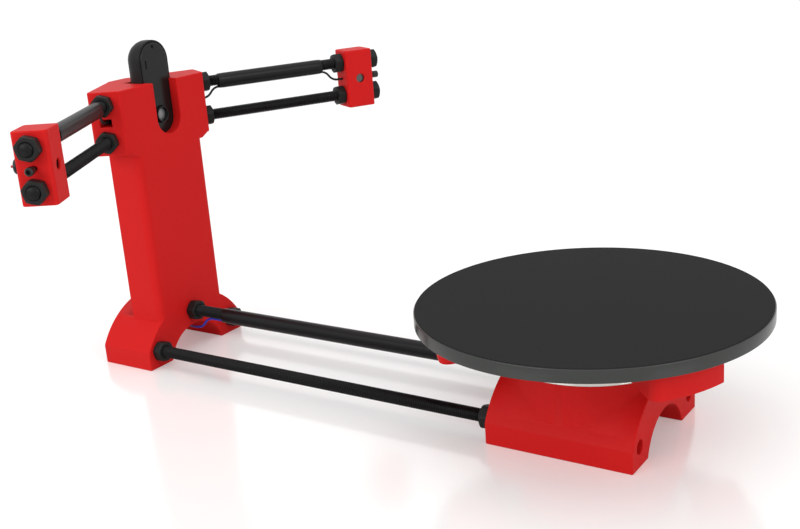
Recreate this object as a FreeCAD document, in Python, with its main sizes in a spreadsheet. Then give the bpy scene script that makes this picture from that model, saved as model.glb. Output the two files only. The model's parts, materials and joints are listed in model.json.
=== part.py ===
import FreeCAD, Part
import math
import os
from types import SimpleNamespace
from FreeCAD import Placement, Rotation, Vector

# Desktop laser scanner: a printed column with a webcam and two line lasers on threaded arms,
# joined by three threaded rods to a base that carries a motor driven turntable.
# +X runs from the column to the turntable, +Y to the far arm, +Z up, and the floor is z = 0.
# The origin is under the middle of the whole scanner. Lengths are millimetres.

driving = {
    # turntable
    "disc_radius": 100.0,
    "disc_thick": 7.5,
    "mat_thick": 0.8,
    "mat_inset": 0.7,
    "turntable_top": 77.9,
    "wing_radius": 88.5,
    "wing_root": 57.0,
    "wing_start": 16.0,
    "wing_sweep": 30.0,
    "wing_rise": 3.3,
    "wing_rounding": 5.5,
    "wing_hole_depth": 12.0,
    "relief_depth": 1.0,
    "relief_rim": 4.0,
    "disc_screw_circle": 70.0,
    # slewing bearing under the disc
    "bearing_bottom": 48.2,
    "bearing_bore": 70.0,
    "bearing_outside": 110.0,
    "bearing_width": 13.0,
    "ball_radius": 4.0,
    "ball_count": 16,
    "ring_gap": 5.0,
    "cage_wall": 4.0,
    # arched feet, the same section under the column and under the turntable
    "arch_radius": 54.4,
    "arch_drop": 13.3,
    "arch_width": 95.2,
    "tunnel_radius": 26.9,
    "tunnel_drop": 7.4,
    "base_before": 45.4,
    "base_behind": 44.0,
    "boss_radius": 44.0,
    "boss_step": 1.0,
    "shoulder_radius": 39.2,
    "spigot_wall": 7.0,
    "spigot_short": 1.0,
    "motor_plate": 4.0,
    "socket_depth": 35.0,
    "rod_grip": 38.0,
    "middle_rod_stop": 3.0,
    # column
    "axis_to_front": 311.4,
    "foot_depth": 44.5,
    "tower_depth": 27.9,
    "tower_width": 64.2,
    "tower_wall": 3.5,
    "tower_rounding": 5.5,
    "bay_bottom": 44.0,
    "bay_below_head": 3.2,
    "screw_skin": 1.0,
    # head that holds the webcam and the arms
    "head_below_rods": 21.7,
    "head_above_rods": 20.7,
    "gusset_height": 3.0,
    "gusset_spread": 6.0,
    "arm_angle": 30.0,
    "arm_block": 21.0,
    "crossing_setback": 36.7,
    "head_reach": 52.9,
    "head_rounding": 2.5,
    "slot_width": 22.2,
    "slot_rise": 6.2,
    "front_wall": 7.6,
    "duct_width": 7.6,
    "duct_height": 5.0,
    "duct_radius": 3.0,
    "duct_reach": 24.0,
    "cable_hole_radius": 4.0,
    "cable_y": 14.0,
    # threaded rods and nuts
    "rod_radius": 4.0,
    "rod_spread": 74.4,
    "rod_height": 12.0,
    "middle_rod_height": 30.1,
    "arm_rod_middle": 173.9,
    "arm_rod_gap": 24.2,
    "arm_rod_start": 32.0,
    "arm_rod_end": 193.8,
    "nut_flats": 13.0,
    "nut_thick": 6.5,
    "nut_turn": 15.0,
    # laser holders
    "holder_start": 164.3,
    "holder_depth": 21.5,
    "holder_height": 42.4,
    "holder_rounding": 2.5,
    "laser_radius": 6.0,
    "laser_tail": 4.0,
    "laser_cap": 2.0,
    "laser_mouth_radius": 3.2,
    "lens_thick": 1.2,
    "clamp_head_radius": 2.5,
    "clamp_head_thick": 4.5,
    "clamp_radius": 1.5,
    "hex_socket": 2.5,
    # sleeves and leads
    "lead_radius": 0.8,
    "sleeve_radius": 4.5,
    "sleeve_wall": 0.4,
    "sleeve_slack": 0.1,
    "arm_sleeve_start": 67.0,
    "arm_sleeve_end": 147.5,
    "base_sleeve_start": 30.0,
    "base_sleeve_end": 68.0,
    # motor
    "motor_width": 42.3,
    "motor_length": 34.0,
    "motor_corner": 4.0,
    "motor_cap": 8.0,
    "pilot_radius": 11.0,
    "pilot_height": 2.0,
    "rotor_radius": 13.0,
    "shaft_radius": 2.5,
    "shaft_above": 22.0,
    "motor_hole_spacing": 31.0,
    "motor_bearing_radius": 8.0,
    "motor_bearing_width": 5.0,
    "motor_lid": 1.0,
    "motor_plug_width": 16.0,
    "motor_plug_height": 6.0,
    "motor_plug_rise": 0.4,
    "pilot_clearance": 1.0,
    "collar_radius": 8.0,
    "collar_length": 10.0,
    # screws
    "small_screw_radius": 1.5,
    "small_head_radius": 2.75,
    "small_head_thick": 2.0,
    # electronics
    "board_width": 53.4,
    "board_height": 68.6,
    "board_thick": 1.6,
    "board_bottom": 74.0,
    "standoff_radius": 3.0,
    "standoff_length": 4.0,
    "board_hole_inset": 3.5,
    "shield_gap": 11.0,
    "header_width": 2.5,
    "header_length": 44.0,
    "usb_width": 12.0,
    "usb_length": 16.0,
    "usb_height": 10.4,
    "usb_overhang": 6.0,
    "usb_y": -8.0,
    "usb_wall": 1.0,
    "usb_depth": 10.0,
    "usb_tongue_width": 5.5,
    "usb_tongue_thick": 3.0,
    "usb_tongue_inset": 1.0,
    "jack_width": 9.0,
    "jack_length": 14.0,
    "jack_y": 9.0,
    "jack_overhang": 2.0,
    "jack_bore_radius": 3.2,
    "jack_depth": 10.0,
    "jack_pin_radius": 1.0,
    "jack_pin_inset": 1.0,
    "driver_width": 15.3,
    "driver_length": 20.4,
    "driver_lift": 5.0,
    "chip_width": 5.0,
    "chip_thick": 0.9,
    "chip_rise": 6.0,
    "sink_rise": 4.0,
    "sink_base": 1.5,
    "sink_width": 9.0,
    "sink_height": 5.0,
    "sink_fins": 4,
    "trimmer_radius": 1.4,
    "trimmer_thick": 1.0,
    "trimmer_inset": 3.5,
    "trimmer_lift": 0.15,
    "trimmer_post_radius": 0.6,
    "trimmer_post_height": 0.5,
    "trimmer_slot_width": 0.5,
    "trimmer_slot_depth": 0.25,
    "switch_width": 6.0,
    "switch_height": 3.5,
    "switch_floor": 1.0,
    "switch_y": -14.0,
    "switch_rise": 10.0,
    "button_radius": 1.75,
    "button_height": 1.6,
    "button_travel": 0.3,
    "plug_width": 6.0,
    "plug_height": 8.0,
    "plug_drop": 6.0,
    "motor_plug_drop": 2.0,
    # webcam
    "cam_y": 2.2,
    "cam_width": 27.6,
    "cam_height": 67.0,
    "cam_depth": 17.5,
    "cam_seat": 2.8,
    "cam_wall": 1.6,
    "cam_rounding": 11.5,
    "bezel_width": 24.2,
    "bezel_thick": 2.4,
    "bezel_lip": 1.5,
    "lens_rise": 16.5,
    "lens_barrel_radius": 5.4,
    "lens_barrel_proud": 2.2,
    "lens_well": 3.0,
    "lens_radius": 4.4,
    "lens_crown": 1.2,
    "cam_board_gap": 5.0,
    "cam_board_thick": 1.2,
    "microphone_radius": 0.8,
    "microphone_depth": 1.0,
    "microphone_drop": 4.5,
    "window_width": 1.2,
    "window_height": 4.5,
    "window_depth": 0.6,
    "window_side": 8.0,
    "window_drop": 18.0,
    # clearances
    "running_gap": 0.06,
    "fit_gap": 0.05,
    "hole_gap": 0.15,
    "soft_gap": 0.3,
}

doc = FreeCAD.newDocument("LaserScanner")
sizes = doc.addObject("Spreadsheet::Sheet", "Sizes")
cells = {}


def write_size(alias, value):
    row = len(cells) + 1
    sizes.set(f"A{row}", alias)
    sizes.set(f"B{row}", str(value))
    sizes.setAlias(f"B{row}", alias)
    cells[alias] = f"Sizes.{alias}"
    sizes.recompute()


for alias, value in driving.items():
    write_size(alias, value)


def size(alias):
    return float(sizes.get(alias))


# Places along X follow from the distances between the pieces.
axis_x = (size("axis_to_front") + size("foot_depth") - size("disc_radius")) / 2
write_size("axis_x", axis_x)
write_size("front_x", axis_x - size("axis_to_front"))
write_size("back_x", axis_x - size("axis_to_front") - size("foot_depth"))
write_size("tower_back_x", axis_x - size("axis_to_front") - size("tower_depth"))
write_size("bay_front_x", axis_x - size("axis_to_front") - size("tower_wall"))
write_size("crossing_x", axis_x - size("axis_to_front") - size("crossing_setback"))
write_size("base_left_x", axis_x - size("base_before"))
write_size("base_right_x", axis_x + size("base_behind"))
write_size("disc_bottom", size("turntable_top") - size("mat_thick") - size("disc_thick"))
write_size("bearing_top", size("bearing_bottom") + size("bearing_width"))
write_size("pitch_radius", (size("bearing_bore") + size("bearing_outside")) / 4)
write_size("motor_top", size("bearing_bottom") - size("motor_plate"))
write_size("motor_bottom", size("bearing_bottom") - size("motor_plate") - size("motor_length"))
write_size("cam_front_x", size("front_x") - size("front_wall"))
write_size("board_x", size("bay_front_x") - size("standoff_length"))
write_size("shield_x", size("board_x") - size("board_thick") - size("shield_gap"))
write_size("plug_top", size("board_bottom") + size("board_height") - size("plug_drop"))
write_size("head_bottom", size("arm_rod_middle") - size("head_below_rods"))
write_size("head_top", size("arm_rod_middle") + size("head_above_rods"))
write_size("bay_top", size("head_bottom") - size("bay_below_head"))
write_size("cam_bottom", size("head_bottom") + size("cam_seat"))
write_size("slot_bottom", size("head_bottom") + size("slot_rise"))
write_size("lens_height", size("cam_bottom") + size("lens_rise"))
d = SimpleNamespace(**{alias: size(alias) for alias in cells})

along_z = Rotation()
along_x = Rotation(Vector(0, 1, 0), 90)
along_y = Rotation(Vector(1, 0, 0), -90)
against_x = Rotation(Vector(0, 1, 0), -90)
parts = {}


def bind(thing, name, words):
    thing.setExpression(name, words.format_map(cells))


def place(thing, at, rotation=along_z):
    thing.Placement = Placement(Vector(), rotation)
    for axis, words in zip("xyz", at):
        bind(thing, f"Placement.Base.{axis}", words)
    return thing


def cylinder(name, radius, length, at, rotation=along_z, angle=None):
    thing = doc.addObject("Part::Cylinder", name)
    bind(thing, "Radius", radius)
    bind(thing, "Height", length)
    if angle:
        bind(thing, "Angle", angle)
    return place(thing, at, rotation)


def block(name, lengths, at, rotation=along_z):
    thing = doc.addObject("Part::Box", name)
    for side, words in zip(("Length", "Width", "Height"), lengths):
        bind(thing, side, words)
    return place(thing, at, rotation)


def middle_block(name, lengths, at):
    # a block whose place is the middle of its width
    x, y, z = at
    return block(name, lengths, (x, f"{y} - ({lengths[1]}) / 2", z))


def sphere(name, radius, at):
    thing = doc.addObject("Part::Sphere", name)
    bind(thing, "Radius", radius)
    return place(thing, at)


def torus(name, ring, radius, at):
    thing = doc.addObject("Part::Torus", name)
    bind(thing, "Radius1", ring)
    bind(thing, "Radius2", radius)
    return place(thing, at)


def cut(name, base, *tools):
    thing = doc.addObject("Part::Cut", name)
    thing.Base = base
    thing.Tool = tools[0] if len(tools) == 1 else fuse(name + "Tools", *tools)
    return thing


def fuse(name, *pieces):
    thing = doc.addObject("Part::MultiFuse", name)
    thing.Shapes = list(pieces)
    return thing


def common(name, *pieces):
    thing = doc.addObject("Part::MultiCommon", name)
    thing.Shapes = list(pieces)
    return thing


def group(name, *pieces):
    thing = doc.addObject("Part::Compound", name)
    thing.Links = list(pieces)
    return thing


def rounded(name, base, radius, wanted):
    # rounds the edges for which wanted(edge) holds
    doc.recompute()
    thing = doc.addObject("Part::Fillet", name)
    thing.Base = base
    edges = enumerate(base.Shape.Edges, 1)
    thing.Edges = [(number, radius, radius) for number, edge in edges if wanted(edge)]
    return thing


def upright(edge):
    first, last = edge.Vertexes[0].Point, edge.Vertexes[-1].Point
    return abs(last.z - first.z) > 1 and math.hypot(last.x - first.x, last.y - first.y) < 0.01


def finished(node, thing):
    thing.Label = node
    parts[node] = thing
    return thing


def hexagon(name, flats, length, at, rotation=along_z):
    thing = doc.addObject("Part::Prism", name)
    thing.Polygon = 6
    bind(thing, "Circumradius", f"({flats}) / sqrt(3)")
    bind(thing, "Height", length)
    return place(thing, at, rotation)


def nut(name, at, rotation):
    turned = rotation.multiply(Rotation(Vector(0, 0, 1), d.nut_turn))
    body = hexagon(name + "Hexagon", "{nut_flats}", "{nut_thick}", at, turned)
    bore = cylinder(name + "Bore", "{rod_radius} + {fit_gap}", "{nut_thick}", at, rotation)
    return cut(name, body, bore)


# Arched foot and base


def arch(name, left, length):
    # a cylinder lying along X, cut by upright sides and hollowed by a tunnel
    outside = cylinder(name + "Arc", "{arch_radius}", length, (left, "0", "-{arch_drop}"), along_x)
    sides = middle_block(name + "Sides", (length, "{arch_width}", "{arch_radius}"), (left, "0", "0"))
    tunnel = cylinder(name + "Tunnel", "{tunnel_radius}", length, (left, "0", "-{tunnel_drop}"), along_x)
    return cut(name, common(name + "Band", outside, sides), tunnel)


rod_sides = {"near": "-{rod_spread} / 2", "far": "{rod_spread} / 2", "middle": "0"}
rod_heights = {"near": "{rod_height}", "far": "{rod_height}", "middle": "{middle_rod_height}"}
rod_grips = {
    "near": "{rod_grip}", "far": "{rod_grip}",
    "middle": "{base_before} - {motor_width} / 2 - {middle_rod_stop}",
}


def make_column():
    foot = arch("Foot", "{back_x}", "{foot_depth}")
    tower_box = middle_block(
        "TowerBlock",
        ("{tower_depth}", "{tower_width}", "{head_bottom} - {rod_height}"),
        ("{tower_back_x}", "0", "{rod_height}"),
    )
    tower = rounded(
        "Tower", tower_box, d.tower_rounding,
        lambda edge: upright(edge) and edge.Vertexes[0].Point.x > d.front_x - 0.01,
    )
    tower = cut("TowerAboveTunnel", tower, cylinder(
        "TowerTunnel", "{tunnel_radius}", "{foot_depth}", ("{back_x}", "0", "-{tunnel_drop}"), along_x))
    head = make_head()
    gusset = doc.addObject("Part::Wedge", "Gusset")
    for name, words in {
        "Xmin": "0", "Xmax": "{tower_depth}", "X2min": "0", "X2max": "{tower_depth}",
        "Ymin": "0", "Ymax": "{gusset_height}",
        "Zmin": "-{tower_width} / 2", "Zmax": "{tower_width} / 2",
        "Z2min": "-{tower_width} / 2 - {gusset_spread}", "Z2max": "{tower_width} / 2 + {gusset_spread}",
    }.items():
        bind(gusset, name, words)
    place(gusset, ("{tower_back_x}", "0", "{head_bottom} - {gusset_height}"), Rotation(Vector(1, 0, 0), 90))
    bay = middle_block(
        "Bay",
        ("{tower_depth} - {tower_wall}", "{tower_width} - 2 * {tower_wall}", "{bay_top} - {bay_bottom}"),
        ("{tower_back_x}", "0", "{bay_bottom}"),
    )
    shell = cut("ColumnShell", fuse("ColumnSolid", foot, tower, gusset, head), bay, *head_hollows())
    holes = []
    for side, y in rod_sides.items():
        z = rod_heights[side]
        holes.append(cylinder(
            f"FootHole{side}", "{rod_radius} + {hole_gap}", "{foot_depth}", ("{back_x}", y, z), along_x))
        holes.append(cylinder(
            f"NutPocket{side}", "{nut_flats} / sqrt(3) + {hole_gap}", "{nut_thick} + {soft_gap}",
            ("{back_x}", y, z), along_x))
    holes.append(cylinder(
        "CableHole", "{cable_hole_radius}", "{bay_bottom}",
        ("{shield_x} - {board_thick} - {plug_width} / 2", "{cable_y}", "{tunnel_drop}")))
    for y, z in board_corners():
        holes.append(cylinder(
            f"BoardHole{len(holes)}", "{small_screw_radius} + {fit_gap}", "{tower_wall} - {screw_skin}",
            ("{bay_front_x}", y, z), along_x))
    finished("column_frame", cut("Column", shell, *holes))


def arm_frame(thing, side):
    # puts a piece drawn along the arm (X outward, Y sideways) onto the near or the far arm
    turn = 90 - d.arm_angle
    outer = doc.addObject("Part::Compound", thing.Name + "OnArm")
    outer.Links = [thing]
    swing = Rotation(Vector(0, 0, 1), turn if side == "far" else -turn)
    return place(outer, ("{crossing_x}", "0", "0"), swing)


def make_head():
    height = "{head_top} - {head_bottom}"
    slab = middle_block(
        "HeadSlab", ("{foot_depth}", "4 * {head_reach}", height), ("{back_x}", "0", "{head_bottom}"))
    limits = []
    for side, sign in (("near", 1), ("far", -1)):
        # everything inside the arm's end face and in front of its back face
        depth = "4 * {head_reach}"
        low = "-{arm_block} / 2" if sign > 0 else "{arm_block} / 2 - 4 * {head_reach}"
        limit = block(
            f"HeadLimit{side}", ("5 * {head_reach}", depth, height),
            ("-4 * {head_reach}", low, "{head_bottom}"))
        limits.append(arm_frame(limit, side))
    head = common("HeadBlock", slab, *limits)
    return rounded("Head", head, d.head_rounding, lambda edge: upright(edge) and abs(
        edge.Vertexes[0].Point.y) > d.tower_width / 2)


def head_hollows():
    top = "{head_top} - {cam_bottom}"
    pocket = middle_block(
        "CameraPocket", ("{cam_depth} + {soft_gap}", "{cam_width} + 2 * {soft_gap}", top),
        ("{cam_front_x} - {cam_depth} - {soft_gap}", "{cam_y}", "{cam_bottom}"))
    slot = middle_block(
        "LensSlot", ("{front_wall}", "{slot_width}", "{head_top} - {slot_bottom} - {slot_width} / 2"),
        ("{cam_front_x}", "{cam_y}", "{slot_bottom} + {slot_width} / 2"))
    slot_end = cylinder(
        "LensSlotEnd", "{slot_width} / 2", "{front_wall}",
        ("{cam_front_x}", "{cam_y}", "{slot_bottom} + {slot_width} / 2"), along_x)
    hollows = [pocket, slot, slot_end]
    for side in ("near", "far"):
        for level in (-1, 1):
            hollows.append(arm_frame(cylinder(
                f"HeadBore{side}{level + 1}", "{rod_radius} + {hole_gap}",
                "{head_reach} - {arm_rod_start} + {soft_gap}",
                ("{arm_rod_start} - {soft_gap}", "0", f"{{arm_rod_middle}} + {level} * {{arm_rod_gap}} / 2"),
                along_x), side))
        hollows.append(arm_frame(middle_block(
            f"LeadDuct{side}", ("{head_reach} - {duct_reach}", "{duct_width}", "{duct_height}"),
            ("{duct_reach}", "0", "{arm_rod_middle} - {duct_height} / 2")), side))
        hollows.append(arm_frame(cylinder(
            f"LeadShaft{side}", "{duct_radius}", "{arm_rod_middle} + {duct_height} / 2 - {bay_top}",
            ("{duct_reach}", "0", "{bay_top}")), side))
    return hollows


def make_base():
    length = "{base_before} + {base_behind}"
    body = arch("Base", "{base_left_x}", length)
    boss = cylinder(
        "Boss", "{boss_radius}", "{bearing_bottom} - {boss_step} - {rod_height}",
        ("{axis_x}", "0", "{rod_height}"))
    boss = cut("BossAboveTunnel", boss, cylinder(
        "BossTunnel", "{tunnel_radius}", length, ("{base_left_x}", "0", "-{tunnel_drop}"), along_x))
    shoulder = cylinder(
        "Shoulder", "{shoulder_radius}", "2 * {boss_step}",
        ("{axis_x}", "0", "{bearing_bottom} - 2 * {boss_step}"))
    spigot = cylinder(
        "Spigot", "{bearing_bore} / 2 - {fit_gap}", "{bearing_width} - {spigot_short}",
        ("{axis_x}", "0", "{bearing_bottom}"))
    solid = fuse("BaseSolid", body, boss, shoulder, spigot)
    pocket = middle_block(
        "MotorPocket",
        ("{motor_width} + 2 * {hole_gap}", "{motor_width} + 2 * {hole_gap}", "{motor_top}"),
        ("{axis_x} - {motor_width} / 2 - {hole_gap}", "0", "0"))
    well = cylinder(
        "SpigotWell", "{bearing_bore} / 2 - {spigot_wall}", "{bearing_width}",
        ("{axis_x}", "0", "{bearing_bottom}"))
    pilot = cylinder(
        "PilotHole", "{pilot_radius} + {fit_gap}", "{motor_plate}", ("{axis_x}", "0", "{motor_top}"))
    hollows = [pocket, well, pilot]
    for x, y in motor_corners():
        hollows.append(cylinder(
            f"PlateHole{len(hollows)}", "{small_screw_radius} + {hole_gap}", "{motor_plate}",
            (x, y, "{motor_top}")))
    for side, y in rod_sides.items():
        z = rod_heights[side]
        grip = rod_grips[side]
        hollows.append(cylinder(
            f"BaseHole{side}", "{rod_radius} + {hole_gap}", f"{grip} + {{soft_gap}}",
            ("{base_left_x}", y, z), along_x))
        if side != "middle":
            hollows.append(cylinder(
                f"BaseSocket{side}", "{rod_radius} + {hole_gap}", "{socket_depth}",
                ("{base_right_x} - {socket_depth}", y, z), along_x))
    finished("turntable_base", cut("TurntableBase", solid, *hollows))


def motor_corners():
    half = "{motor_hole_spacing} / 2"
    return [(f"{{axis_x}} {i} {half}", f"0 {j} {half}") for i in "+-" for j in "+-"]


def board_corners():
    return [
        (f"{side} * ({{board_width}} / 2 - {{board_hole_inset}})", z)
        for side in (-1, 1)
        for z in (
            "{board_bottom} + {board_hole_inset}",
            "{board_bottom} + {board_height} - {board_hole_inset}",
        )
    ]


# Threaded rods and their nuts


def make_base_rods():
    nuts = []
    for side, y in rod_sides.items():
        z = rod_heights[side]
        grip = rod_grips[side]
        finished(f"base_rod_{side}", cylinder(
            f"BaseRod{side}", "{rod_radius}", f"{{base_left_x}} - {{back_x}} + {grip}",
            ("{back_x}", y, z), along_x))
        for place_name, x in (
            ("Back", "{back_x} + {soft_gap}"),
            ("Front", "{front_x}"),
            ("Base", "{base_left_x} - {nut_thick}"),
        ):
            nuts.append(nut(f"BaseNut{side}{place_name}", (x, y, z), along_x))
    finished("base_rod_nuts", group("BaseRodNuts", *nuts))


def make_arm_rods():
    nuts = []
    for side in ("near", "far"):
        for level, level_name in ((-1, "lower"), (1, "upper")):
            z = f"{{arm_rod_middle}} + {level} * {{arm_rod_gap}} / 2"
            rod = cylinder(
                f"ArmRod{side}{level_name}", "{rod_radius}", "{arm_rod_end} - {arm_rod_start}",
                ("{arm_rod_start}", "0", z), along_x)
            finished(f"arm_rod_{side}_{level_name}", arm_frame(rod, side))
            for place_name, x in (
                ("Head", "{head_reach}"),
                ("Inner", "{holder_start} - {nut_thick}"),
                ("Outer", "{holder_start} + {holder_depth}"),
            ):
                one = nut(f"ArmNut{side}{level_name}{place_name}", (x, "0", z), along_x)
                nuts.append(arm_frame(one, side))
    finished("arm_rod_nuts", group("ArmRodNuts", *nuts))


# Laser holders, each with its laser barrel, lens and clamp screw


def make_lasers():
    screws = []
    for side in ("near", "far"):
        toward = 1 if side == "near" else -1
        # the beam leaves along local +Y on the near arm and along local -Y on the far arm
        beam = along_y if toward > 0 else Rotation(Vector(1, 0, 0), 90)
        middle = "{holder_start} + {holder_depth} / 2"
        solid = middle_block(
            f"HolderBlock{side}", ("{holder_depth}", "{arm_block}", "{holder_height}"),
            ("{holder_start}", "0", "{arm_rod_middle} - {holder_height} / 2"))
        solid = rounded(f"HolderRounded{side}", solid, d.holder_rounding, upright)
        hollows = []
        for level in (-1, 1):
            hollows.append(cylinder(
                f"HolderBore{side}{level + 1}", "{rod_radius} + {hole_gap}", "{holder_depth}",
                ("{holder_start}", "0", f"{{arm_rod_middle}} + {level} * {{arm_rod_gap}} / 2"), along_x))
        hollows.append(cylinder(
            f"LaserBore{side}", "{laser_radius} + {running_gap}", "{arm_block} - {laser_cap}",
            (middle, f"-{toward} * {{arm_block}} / 2", "{arm_rod_middle}"), beam))
        hollows.append(cylinder(
            f"LaserMouth{side}", "{laser_mouth_radius}", "{arm_block}",
            (middle, f"-{toward} * {{arm_block}} / 2", "{arm_rod_middle}"), beam))
        hollows.append(cylinder(
            f"ClampHole{side}", "{clamp_radius} + {fit_gap}", "{holder_depth} / 2",
            (middle, "0", "{arm_rod_middle}"), along_x))
        hollows.append(cylinder(
            f"LeadHole{side}", "{lead_radius} + {hole_gap}", "{holder_depth} / 2",
            ("{holder_start}", "0", "{arm_rod_middle}"), along_x))
        holder = cut(f"Holder{side}", solid, *hollows)
        finished(f"laser_holder_{side}", arm_frame(holder, side))
        make_laser_barrel(side, toward, beam, middle)
        screws.append(arm_frame(clamp_screw(side), side))
    finished("laser_clamp_screws", group("LaserClampScrews", *screws))


def make_laser_barrel(side, toward, beam, middle):
    rear = f"-{toward} * ({{arm_block}} / 2 + {{laser_tail}})"
    length = "{arm_block} - {laser_cap} + {laser_tail} - {soft_gap}"
    barrel = cylinder(f"Barrel{side}", "{laser_radius}", length, (middle, rear, "{arm_rod_middle}"), beam)
    front = f"{toward} * ({{arm_block}} / 2 - {{laser_cap}} - {{soft_gap}} - {{lens_thick}})"
    seat = cylinder(
        f"LensSeat{side}", "{laser_mouth_radius} + {fit_gap}", "{lens_thick}",
        (middle, front, "{arm_rod_middle}"), beam)
    tail_hole = cylinder(
        f"TailHole{side}", "{lead_radius} + {hole_gap}", "{laser_tail}",
        (middle, rear, "{arm_rod_middle}"), beam)
    finished(f"laser_barrel_{side}", arm_frame(cut(f"LaserBarrel{side}", barrel, seat, tail_hole), side))
    lens = cylinder(
        f"Lens{side}", "{laser_mouth_radius}", "{lens_thick}", (middle, front, "{arm_rod_middle}"), beam)
    finished(f"laser_lens_{side}", arm_frame(lens, side))


def clamp_screw(side):
    outside = "{holder_start} + {holder_depth}"
    tip = "{holder_start} + {holder_depth} / 2 + {laser_radius} + {soft_gap}"
    head = cylinder(
        f"ClampHead{side}", "{clamp_head_radius}", "{clamp_head_thick}",
        (outside, "0", "{arm_rod_middle}"), along_x)
    shank = cylinder(
        f"ClampShank{side}", "{clamp_radius}", f"{outside} + {{clamp_head_thick}} / 2 - ({tip})",
        (tip, "0", "{arm_rod_middle}"), along_x)
    key = hexagon(
        f"ClampKey{side}", "{hex_socket}", "{clamp_head_thick} / 2",
        (f"{outside} + {{clamp_head_thick}} / 2", "0", "{arm_rod_middle}"), along_x)
    return cut(f"ClampScrew{side}", fuse(f"ClampSolid{side}", head, shank), key)


# Sleeves that hold a lead under a rod


def stadium(name, radius, spread, length, at):
    # an upright round ended section, drawn along X, whose upper centre is at the place given
    x, y, z = at
    upper = cylinder(name + "Upper", radius, length, at, along_x)
    lower = cylinder(name + "Lower", radius, length, (x, y, f"{z} - ({spread})"), along_x)
    web = middle_block(name + "Web", (length, f"2 * ({radius})", spread), (x, y, f"{z} - ({spread})"))
    return fuse(name, upper, lower, web)


def sleeve(name, length, at):
    x, y, z = at
    top = (x, y, f"{z} + {{sleeve_slack}}")
    spread = "2 * {lead_radius} + {sleeve_slack}"
    outside = stadium(name + "Outside", "{sleeve_radius}", spread, length, top)
    inside = stadium(name + "Inside", "{sleeve_radius} - {sleeve_wall}", spread, length, top)
    return cut(name, outside, inside)


def make_sleeves():
    for side in ("near", "far"):
        one = sleeve(
            f"ArmSleeve{side}", "{arm_sleeve_end} - {arm_sleeve_start}",
            ("{arm_sleeve_start}", "0", "{arm_rod_middle} + {arm_rod_gap} / 2"))
        finished(f"arm_sleeve_{side}", arm_frame(one, side))
    finished("base_rod_sleeve", sleeve(
        "BaseRodSleeve", "{axis_x} - {base_sleeve_end} - {front_x} - {base_sleeve_start}",
        ("{front_x} + {base_sleeve_start}", "0", "{middle_rod_height}")))


# Leads: straight runs joined by tangent arcs, swept by a circle


def lead(node, points):
    edges = []
    radii = []
    start = points[0]
    for before, corner, after in zip(points, points[1:], points[2:]):
        come, go = corner - before, after - corner
        half_turn = come.getAngle(go) / 2
        setback = 0.45 * min(come.Length, go.Length)
        radius = setback / math.tan(half_turn)
        come.normalize()
        go.normalize()
        inward = go - come
        inward.normalize()
        middle = corner + inward * (radius / math.cos(half_turn) - radius)
        first, last = corner - come * setback, corner + go * setback
        edges.append(Part.LineSegment(start, first).toShape())
        edges.append(Part.Arc(first, middle, last).toShape())
        radii.append(radius)
        start = last
    edges.append(Part.LineSegment(start, points[-1]).toShape())
    path = Part.Wire(edges)
    ring = Part.Wire(Part.makeCircle(d.lead_radius, points[0], points[1] - points[0]))
    thing = doc.addObject("Part::Feature", node)
    thing.Shape = path.makePipeShell([ring], True, False)
    swept = math.pi * d.lead_radius ** 2 * path.Length
    print(node, "length", round(path.Length, 1), "radii", [round(radius, 1) for radius in radii],
          "volume over section times length", round(thing.Shape.Volume / swept, 5))
    return finished(node, thing)


def make_leads():
    turn = math.radians(d.arm_angle)
    under_rod = d.arm_rod_middle + d.arm_rod_gap / 2 - d.rod_radius - d.lead_radius - d.fit_gap
    duct = d.arm_rod_middle
    for side, sign in (("near", -1), ("far", 1)):
        route = [
            (d.duct_reach, d.plug_top),
            (d.duct_reach, duct - 4.2),
            (d.duct_reach + 3.3, duct - 0.4),
            (d.head_reach + 5.5, duct + 0.6),
            (d.arm_sleeve_start - 3.5, under_rod),
            (d.arm_sleeve_end + 3.5, under_rod),
            (d.holder_start - 8.0, duct),
            (d.holder_start + d.holder_depth / 2 - d.laser_radius - d.soft_gap, duct - 0.1),
        ]
        lead(f"laser_lead_{side}", [
            Vector(d.crossing_x + reach * math.sin(turn), sign * reach * math.cos(turn), z)
            for reach, z in route
        ])
    under_middle = d.middle_rod_height - d.rod_radius - d.lead_radius - d.fit_gap
    drop_x = d.shield_x - d.board_thick - d.plug_width / 2
    lead("motor_lead", [
        Vector(drop_x, d.cable_y, d.board_bottom - d.motor_plug_drop),
        Vector(drop_x, d.cable_y, 13.5),
        Vector(d.front_x - 7.5, 3.5, 14.5),
        Vector(d.front_x + 7.0, 0, 17.3),
        Vector(d.front_x + 14.0, 0, under_middle),
        Vector(d.axis_x - d.base_sleeve_end + 5, 0, under_middle),
        Vector(d.axis_x - 53.5, 0, 17.6),
        Vector(d.axis_x - 42.0, 0, 14.2),
        Vector(d.axis_x - d.motor_width / 2 - d.plug_width, 0, 13.6),
    ])


# Motor


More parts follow.
